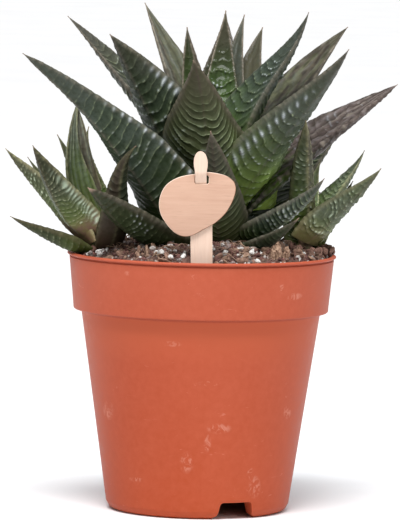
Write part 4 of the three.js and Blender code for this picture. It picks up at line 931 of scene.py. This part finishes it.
def lump(rng, size, flat=0.8, long=1.0, detail=1):
    """One rough grain: a bent and dented icosphere."""
    bm = bmesh.new()
    bmesh.ops.create_icosphere(bm, subdivisions=detail, radius=1.0)
    v = np.array([p.co[:] for p in bm.verts])
    f = [[q.index for q in p.verts] for p in bm.faces]
    bm.free()
    k = rng.normal(size=(5, 3))
    k /= np.linalg.norm(k, axis=1)[:, None]
    dent = 1 + sum(0.22 * np.cos(2.6 * (v @ k[i]) + rng.uniform(0, 6.3)) for i in range(5)) * 0.55
    v = v * dent[:, None] + rng.normal(size=v.shape) * 0.06
    v = v * np.array([long, 1.0, flat]) * size
    q = rng.normal(size=4)
    q /= np.linalg.norm(q)
    w, x, y, z = q
    rot = np.array([[1 - 2 * (y * y + z * z), 2 * (x * y - z * w), 2 * (x * z + y * w)],
                    [2 * (x * y + z * w), 1 - 2 * (x * x + z * z), 2 * (y * z - x * w)],
                    [2 * (x * z - y * w), 2 * (y * z + x * w), 1 - 2 * (x * x + y * y)]])
    return v @ rot.T, f


def fibre(rng, p, direction, length, radius, rise):
    """One bent strand that lies on the mix."""
    n, m = 9, 5
    d = np.array([math.cos(direction), math.sin(direction), 0.0])
    e = np.array([-d[1], d[0], 0.0])
    t = np.linspace(0, 1, n)
    bend = rng.uniform(-0.35, 0.35) * length
    c = p + np.outer((t - 0.5) * length, d) + np.outer(bend * 4 * t * (1 - t), e)
    c[:, 2] = soil_height(c[:, 0], c[:, 1]) + radius + rise * np.sin(t * math.pi) + rise * 0.6 * t
    verts, faces = [], []
    for i in range(n):
        a = np.linspace(0, 2 * math.pi, m, endpoint=False)
        r = radius * (1 - 0.5 * abs(2 * t[i] - 1) ** 3)
        verts += [c[i] + r * (math.cos(q) * e + math.sin(q) * np.array([0, 0, 1.0])) for q in a]
    for i in range(n - 1):
        for j in range(m):
            faces.append([i * m + j, i * m + (j + 1) % m, (i + 1) * m + (j + 1) % m, (i + 1) * m + j])
    faces.append(list(range(m))[::-1])
    faces.append([(n - 1) * m + j for j in range(m)])
    return np.array(verts), faces


def make_grains():
    rng = np.random.default_rng(4242)
    V, F, LOOK = [], [], []
    count = 0

    def add(v, f, kind, shade, warm):
        nonlocal count
        V.append(v)
        F.extend([[i + count for i in q] for q in f])
        LOOK.append(np.tile([kind, shade, warm], (len(v), 1)))
        count += len(v)

    edge = inner(SOIL_EDGE) - GAP - 0.5

    def spot(rmin=0.0, rmax=None):
        rmax = rmax or edge
        r = math.sqrt(rng.uniform(rmin**2, rmax**2))
        a = rng.uniform(0, 2 * math.pi)
        return r * math.cos(a), r * math.sin(a)

    for _ in range(4250):  # crumbs of peat
        x, y = spot()
        size = 0.22 + 0.70 * rng.random() ** 3.2
        x, y = (x, y) if math.hypot(x, y) < edge - size else (x * 0.97, y * 0.97)
        if abs(x + 0.4) < 4.6 and y < -35:
            continue
        v, f = lump(rng, size, rng.uniform(0.5, 0.9), rng.uniform(1, 1.7), 1 if size < 0.62 else 2)
        z = float(soil_height(np.array([x]), np.array([y]))[0])
        add(v + [x, y, z + size * rng.uniform(0.0, 0.55)], f, rng.choice([0, 0, 0, 0, 0, 0, 0.25, 0.45]), rng.uniform(0, 1.2), rng.choice([0, 0, 0, 0.3, 0.5]))
    for _ in range(170):  # bark chips
        x, y = spot()
        if abs(x + 0.4) < 5.4 and y < -34:
            continue
        size = rng.uniform(0.7, 1.5)
        v, f = lump(rng, size, rng.uniform(0.3, 0.5), rng.uniform(1.3, 2.1), 2)
        z = float(soil_height(np.array([x]), np.array([y]))[0])
        add(v + [x, y, z + size * 0.4], f, 0.0, rng.uniform(0, 0.5), rng.uniform(0.1, 0.75))
    for _ in range(330):  # perlite
        x, y = spot(6.0)
        if abs(x + 0.4) < 5.4 and y < -34:
            continue
        size = 0.32 + 0.66 * rng.random() ** 2
        v, f = lump(rng, size, rng.uniform(0.7, 1), rng.uniform(1, 1.3), 2)
        z = float(soil_height(np.array([x]), np.array([y]))[0])
        v = v * rng.uniform(0.75, 1.2, 3) + 0.10 * size * rng.normal(size=v.shape)
        add(v + [x, y, z + size * 0.45], f, rng.uniform(0.60, 1.0), 0.0, 0.3)
    for _ in range(330):  # fibres
        x, y = spot(2.0, edge - 4.5)
        if abs(x + 0.4) < 5.4 and y < -34:
            continue
        v, f = fibre(rng, np.array([x, y, 0.0]), rng.uniform(0, 6.3), rng.uniform(2.2, 7.0), rng.uniform(0.07, 0.20), rng.uniform(0.1, 1.5))
        add(v, f, 0.0, 0.0, rng.uniform(0.55, 1.0))
    for x, y, z, size, dark in ((39.2, 1.0, 86.0, 1.5, 0.5), (40.6, -1.6, 86.2, 1.3, 0.3), (41.6, 2.4, 86.4, 1.5, 0.7), (42.9, 0.4, 86.5, 1.25, 0.6), (38.0, -3.5, 86.2, 1.4, 0.2),
                             (40.4, 4.2, 87.3, 1.2, 0.4), (36.6, -6.0, 86.4, 1.3, 0.2), (43.4, 3.0, 86.2, 1.0, 0.4), (35.2, -9.0, 86.4, 1.4, 0.3), (-35.5, -14.0, 86.4, 1.2, 0.3)):
        v, f = lump(rng, size, rng.uniform(0.6, 0.9), rng.uniform(1, 1.4), 2)
        add(v + [x, y, z], f, 0.0, dark, 0.25)
    for x, y, z, size in ((-33.4, -19.5, 86.0, 0.95), (-32.0, -20.6, 85.9, 0.6), (-13.0, -31.0, 86.9, 1.0), (-11.4, -32.2, 86.8, 0.75), (16.0, -29.5, 87.3, 0.85)):
        v, f = lump(rng, size, 0.9, 1.2, 2)
        add(v + [x, y, z], f, 0.9, 0.0, 0.3)
    for x, y, z, h, r in ((24.6, -27.5, 88.0, 3.6, 1.15), (23.0, -28.3, 87.3, 2.6, 0.8), (27.2, -27.0, 87.0, 2.2, 0.9)):
        v, f = lump(rng, 1.0, 1.0, 1.0, 3)
        v = v * np.array([r, r * 0.75, h]) + 0.18 * rng.normal(size=v.shape) * np.array([1, 1, 0.4])
        add(v + [x, y, z], f, 0.0, 0.0, 0.75)
    ob = new_object("potting_mix_grains", np.vstack(V), F)
    ob.data.polygons.foreach_set("use_smooth", np.array([len(q) == 4 for q in F]))
    put_vectors(ob.data, "look_a", np.vstack(LOOK))
    ob.data.materials.append(GRAINS)
    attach(ob, "root")


make_grains()


# ---------------------------------------------------------------------------
# stems, with the roots that hold them
# ---------------------------------------------------------------------------
def tube(path, radii, m=14):
    path = np.asarray(path, float)
    tan = np.gradient(path, axis=0)
    tan /= np.linalg.norm(tan, axis=1)[:, None]
    ref = np.array([0.31, 0.95, 0.0])
    verts, faces = [], []
    for c, t, r in zip(path, tan, radii):
        a = ref - t * (ref @ t)
        a /= np.linalg.norm(a)
        b = np.cross(t, a)
        q = np.linspace(0, 2 * math.pi, m, endpoint=False)
        verts += [c + r * (math.cos(k) * a + math.sin(k) * b) for k in q]
    n = len(path)
    for i in range(n - 1):
        for j in range(m):
            faces.append([i * m + j, i * m + (j + 1) % m, (i + 1) * m + (j + 1) % m, (i + 1) * m + j])
    faces.append(list(range(m))[::-1])
    faces.append([(n - 1) * m + j for j in range(m)])
    return np.array(verts), faces


def make_stem(name, spec):
    x, y, top, radius, roots, reach, drop, rr = spec
    rng = np.random.default_rng(len(name) + int(top))
    n, m = 90, 40
    zz = np.linspace(STEM_FOOT, top, n)
    pr = [STEM_FOOT, STEM_FOOT + 4, top - 9, top - 3, top]
    rad = np.interp(zz, pr, [radius * 0.72, radius, radius, radius * 0.82, radius * 0.35])
    ang = np.linspace(0, 2 * math.pi, m, endpoint=False)
    Z, A = np.meshgrid(zz, ang, indexing="ij")
    turn = A / (2 * math.pi) * 3
    ring = (Z / 1.7 + turn) % 1.0
    scale = 0.30 * (1 - ring) * smooth(0, 0.12, ring) - 0.30
    R = rad[:, None] + scale + 0.12 * (noise2(A * 3, Z / 1.3, 7) - 0.5)
    R = np.minimum(R, rad[:, None])
    verts = np.stack([x + R * np.cos(A), y + R * np.sin(A), Z], 2).reshape(-1, 3)
    faces = []
    for i in range(n - 1):
        for j in range(m):
            faces.append([i * m + j, i * m + (j + 1) % m, (i + 1) * m + (j + 1) % m, (i + 1) * m + j])
    faces.append(list(range(m))[::-1])
    faces.append([(n - 1) * m + j for j in range(m)])
    look_a = np.stack([1 - ring.ravel(), np.clip(noise2(A * 2.0, Z / 3.0, 9).ravel() * 1.6 - 0.5, 0, 1), 0 * ring.ravel()], 1)
    V, F, LK = [verts], faces, [look_a]
    count = len(verts)
    for direction in roots:
        d = np.array([math.cos(direction), math.sin(direction), 0])
        s0 = np.array([x, y, STEM_FOOT + 4.0])
        c = [s0, s0 + d * reach * 0.35 + [0, 0, -6], s0 + d * reach * 0.9 + [0, 0, -drop * 0.45], s0 + d * reach + [0, 0, -drop]]
        t = np.linspace(0, 1, 26)[:, None]
        a = 1 - t
        path = a**3 * c[0] + 3 * a * a * t * c[1] + 3 * a * t * t * c[2] + t**3 * c[3]
        v, f = tube(path, rr * (1 - 0.62 * t[:, 0]) * (0.97 + 0.03 * np.cos(np.arange(26) * 2.1)), 12)
        V.append(v)
        F = F + [[i + count for i in q] for q in f]
        LK.append(np.tile([0.2, 0.1, 0.0], (len(v), 1)))
        count += len(v)
    ob = new_object(name + "_scaly", np.vstack(V), F)
    ob.data.shade_smooth()
    put_vectors(ob.data, "look_a", np.vstack(LK))
    ob.data.materials.append(STEM)
    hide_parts(name)
    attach(ob, "root")


for stem_name, stem_spec in STEMS.items():
    make_stem(stem_name, stem_spec)


# ---------------------------------------------------------------------------
# the wooden tag on its stick
# ---------------------------------------------------------------------------
def make_stake():
    lean = -0.0282
    zs = [58, 65, 70, 102, 104.2, 106.2, 107.6, 113.0, 114.3, 115.6, 117.0, 118.4, 119.6, 120.4, 120.6]
    hw = [0, 2.6, 3.55, 3.55, 3.2, 2.3, 1.85, 1.85, 1.95, 2.2, 2.28, 2.1, 1.6, 0.85, 0.0]
    yz = [58, 108.9, 109.3, 112.8, 113.6, 121.0]
    yb = [-35.3, -35.3, -35.4, -37.55, -37.9, -38.02]
    zz = np.concatenate([np.linspace(58, 70, 12, endpoint=False), np.linspace(70, 101.5, 34, endpoint=False),
                         np.linspace(101.5, 119.5, 76, endpoint=False), 120.6 - 1.1 * np.cos(np.linspace(0, math.pi / 2, 12)) ** 1.0])
    h = np.interp(zz, zs, hw)
    for _ in range(2):  # ease the outline's corners, keeping its two ends
        g = np.convolve(np.pad(h, 2, mode="edge"), [0.1, 0.2, 0.4, 0.2, 0.1], "valid")
        h = np.where((zz > 71) & (zz < 119.4), g, h)
    back = np.interp(zz, yz, yb)
    back = np.where((zz > 108) & (zz < 115), np.convolve(np.pad(back, 2, mode="edge"), [0.1, 0.2, 0.4, 0.2, 0.1], "valid"), back)
    h = np.maximum(h, 0.05)
    t, bev = 0.9, 0.14
    verts, faces = [], []
    shape = []
    for i in range(9):
        shape.append((-1 + 2 * i / 8, 0, 0))
    m = 2 * 11
    for z, hh, b in zip(zz, h, back):
        e = min(bev, hh * 0.5)
        xs = np.linspace(-hh + e, hh - e, 9)
        loop = [(-hh, b - e)] + [(q, b) for q in xs] + [(hh, b - e)] + [(hh, b - t + e)] + [(q, b - t) for q in xs[::-1]] + [(-hh, b - t + e)]
        m = len(loop)
        verts += [(q + lean * (z - 84), y, z) for q, y in loop]
    n = len(zz)
    for i in range(n - 1):
        for j in range(m):
            faces.append([i * m + j, i * m + (j + 1) % m, (i + 1) * m + (j + 1) % m, (i + 1) * m + j])
    faces.append(list(range(m))[::-1])
    faces.append([(n - 1) * m + j for j in range(m)])
    ob = new_object("tag_stick", verts, faces)
    outward(ob.data)
    sharpen(ob.data, 30)
    ob.data.materials.append(STAKE)
    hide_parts("label_stake")
    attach(ob, "root")


def make_plate():
    pts = np.array([
        (-2.71, 113.18), (-7.2, 112.22), (-10.4, 110.68), (-12.46, 108.7), (-13.75, 105.9), (-14.13, 103.0), (-13.52, 99.95),
        (-11.92, 97.23), (-9.6, 94.6), (-7.29, 93.15), (-4.9, 92.85), (-2.6, 93.5), (0.03, 95.0), (3.83, 97.2), (6.91, 100.0),
        (8.97, 103.2), (10.32, 106.7), (10.53, 109.3), (9.6, 111.3), (7.4, 112.7), (4.6, 113.45), (1.0, 113.8)])
    k = len(pts)
    line = []
    for i in range(k):
        a, b, c, d = pts[i - 1], pts[i], pts[(i + 1) % k], pts[(i + 2) % k]
        for v in np.linspace(0, 1, 8, endpoint=False):
            line.append(0.5 * (2 * b + (c - a) * v + (2 * a - 5 * b + 4 * c - d) * v * v + (3 * b - a - 3 * c + d) * v**3))
    line = np.array(line)
    c, h, b, t = -0.66, 2.02, 110.0, 112.7
    g = h + 0.42
    slot = [(c - h, b + 0.4), (c - h, t - 0.5), (c - h + 0.15, t - 0.15), (c - h + 0.5, t), (c + g - 0.5, t), (c + g - 0.15, t - 0.15),
            (c + g, t - 0.5), (c + g, b + 0.4), (c + g - 0.4, b), (c - h + 0.4, b)]
    cu = bpy.data.curves.new("plate_outline", "CURVE")
    cu.dimensions = "2D"
    cu.fill_mode = "BOTH"
    bev = 0.31
    cu.extrude = (0.4 - bev) * MM
    cu.bevel_depth = bev * MM
    cu.bevel_resolution = 2
    cu.offset = -bev * MM
    for ring in (line, slot):
        sp = cu.splines.new("POLY")
        sp.points.add(len(ring) - 1)
        for p, (x, z) in zip(sp.points, ring):
            p.co = (x * MM, z * MM, 0, 1)
        sp.use_cyclic_u = True
    tmp = bpy.data.objects.new("plate_outline", cu)
    scene.collection.objects.link(tmp)
    deps = bpy.context.evaluated_depsgraph_get()
    me = bpy.data.meshes.new_from_object(tmp.evaluated_get(deps))
    bpy.data.objects.remove(tmp)
    v = np.array([p.co[:] for p in me.vertices])
    out = np.stack([v[:, 0], v[:, 2] + (-37.3 + 0.4) * MM, v[:, 1]], 1)
    me.vertices.foreach_set("co", out.astype(np.float32).ravel())
    me.update()
    bm = bmesh.new()
    bm.from_mesh(me)
    bmesh.ops.remove_doubles(bm, verts=bm.verts, dist=1e-6)
    bmesh.ops.recalc_face_normals(bm, faces=bm.faces)
    bm.to_mesh(me)
    bm.free()
    ob = bpy.data.objects.new("tag_plate", me)
    scene.collection.objects.link(ob)
    sharpen(me, 25)
    me.materials.clear()
    me.materials.append(PLATE)
    me.materials.append(BURNT)
    for p in me.polygons:
        if abs(p.normal.y) < 0.965:
            p.material_index = 1
    # how far each edge faces up and to the left, for the painted rim highlight
    nn = np.array([q.normal[:] for q in me.vertices])
    toward = -0.80 * nn[:, 0] + 0.45 * nn[:, 2]
    put_vectors(me, "look_a", np.stack([smooth(-0.15, 0.35, toward), 0 * toward, 0 * toward], 1))
    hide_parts("label_plate")
    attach(ob, "root")


make_stake()
make_plate()

# ---------------------------------------------------------------------------
# floor, light and camera
# ---------------------------------------------------------------------------
bm = bmesh.new()
bmesh.ops.create_grid(bm, x_segments=24, y_segments=24, size=20.0)
fm = bpy.data.meshes.new("floor")
bm.to_mesh(fm)
bm.free()
floor = bpy.data.objects.new("floor", fm)
floor.location = (0, 0, -0.0001)
scene.collection.objects.link(floor)
fm.materials.append(FLOOR)
floor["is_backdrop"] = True

world = bpy.data.worlds.new("studio")
scene.world = world
world.use_nodes = True
bg = world.node_tree.nodes["Background"]
bg.inputs[0].default_value = (1.0, 1.0, 1.0, 1)
bg.inputs[1].default_value = 0.38


def softbox(name, where, target, size_x, size_y, power, colour=(1, 1, 1)):
    li = bpy.data.lights.new(name, "AREA")
    li.shape = "RECTANGLE"
    li.size, li.size_y = size_x, size_y
    li.energy = power
    li.color = colour
    ob = bpy.data.objects.new(name, li)
    ob.location = where
    ob.rotation_euler = (Vector(target) - Vector(where)).to_track_quat("-Z", "Y").to_euler()
    ob.visible_camera = False
    scene.collection.objects.link(ob)


sun = bpy.data.lights.new("overhead", "SUN")
sun.energy = 2.85
sun.angle = math.radians(24)
sun.color = (0.99, 0.995, 1.0)
sun_ob = bpy.data.objects.new("overhead", sun)
sun_ob.rotation_euler = Vector((0.04, 0.50, -1.0)).to_track_quat("-Z", "Y").to_euler()
scene.collection.objects.link(sun_ob)
softbox("canopy", (-0.10, -0.05, 1.30), (0, 0, 0.10), 1.5, 1.3, 4.0, (0.86, 0.93, 1.0))
softbox("glint_left", (-0.52, -0.40, 1.00), (0, 0, 0.12), 0.085, 0.085, 1.9, (0.86, 0.93, 1.0))
softbox("glint_right", (0.52, -0.40, 1.00), (0, 0, 0.12), 0.085, 0.085, 1.9, (0.86, 0.93, 1.0))
softbox("front_right", (1.0, -1.5, 0.75), (0, 0, 0.09), 0.6, 0.6, 4.2, (1.0, 0.99, 0.98))
softbox("front_left", (-1.1, -1.3, 0.7), (0, 0, 0.09), 0.6, 0.6, 1.5, (1.0, 0.99, 0.98))

pitch, yaw, roll = math.radians(-4.57), math.radians(-0.02), math.radians(1.11)
fwd = Vector((math.sin(yaw) * math.cos(pitch), math.cos(yaw) * math.cos(pitch), math.sin(pitch)))
right = Vector((math.cos(yaw), -math.sin(yaw), 0))
upv = right.cross(fwd)
r2 = right * math.cos(roll) + upv * math.sin(roll)
u2 = -right * math.sin(roll) + upv * math.cos(roll)
cam_data = bpy.data.cameras.new("camera")
cam_data.sensor_fit = "AUTO"
cam_data.sensor_width = 36.0
cam_data.lens = 4857.6 * 36.0 / 523.0
cam_data.clip_start = 0.05
cam_data.clip_end = 100.0
cam = bpy.data.objects.new("camera", cam_data)
cam.matrix_world = Matrix((
    (r2.x, u2.x, -fwd.x, 0.0),
    (r2.y, u2.y, -fwd.y, -1.6),
    (r2.z, u2.z, -fwd.z, 0.2098),
    (0, 0, 0, 1)))
scene.collection.objects.link(cam)
scene.camera = cam
bpy.context.scene.camera = cam

own_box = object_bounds()
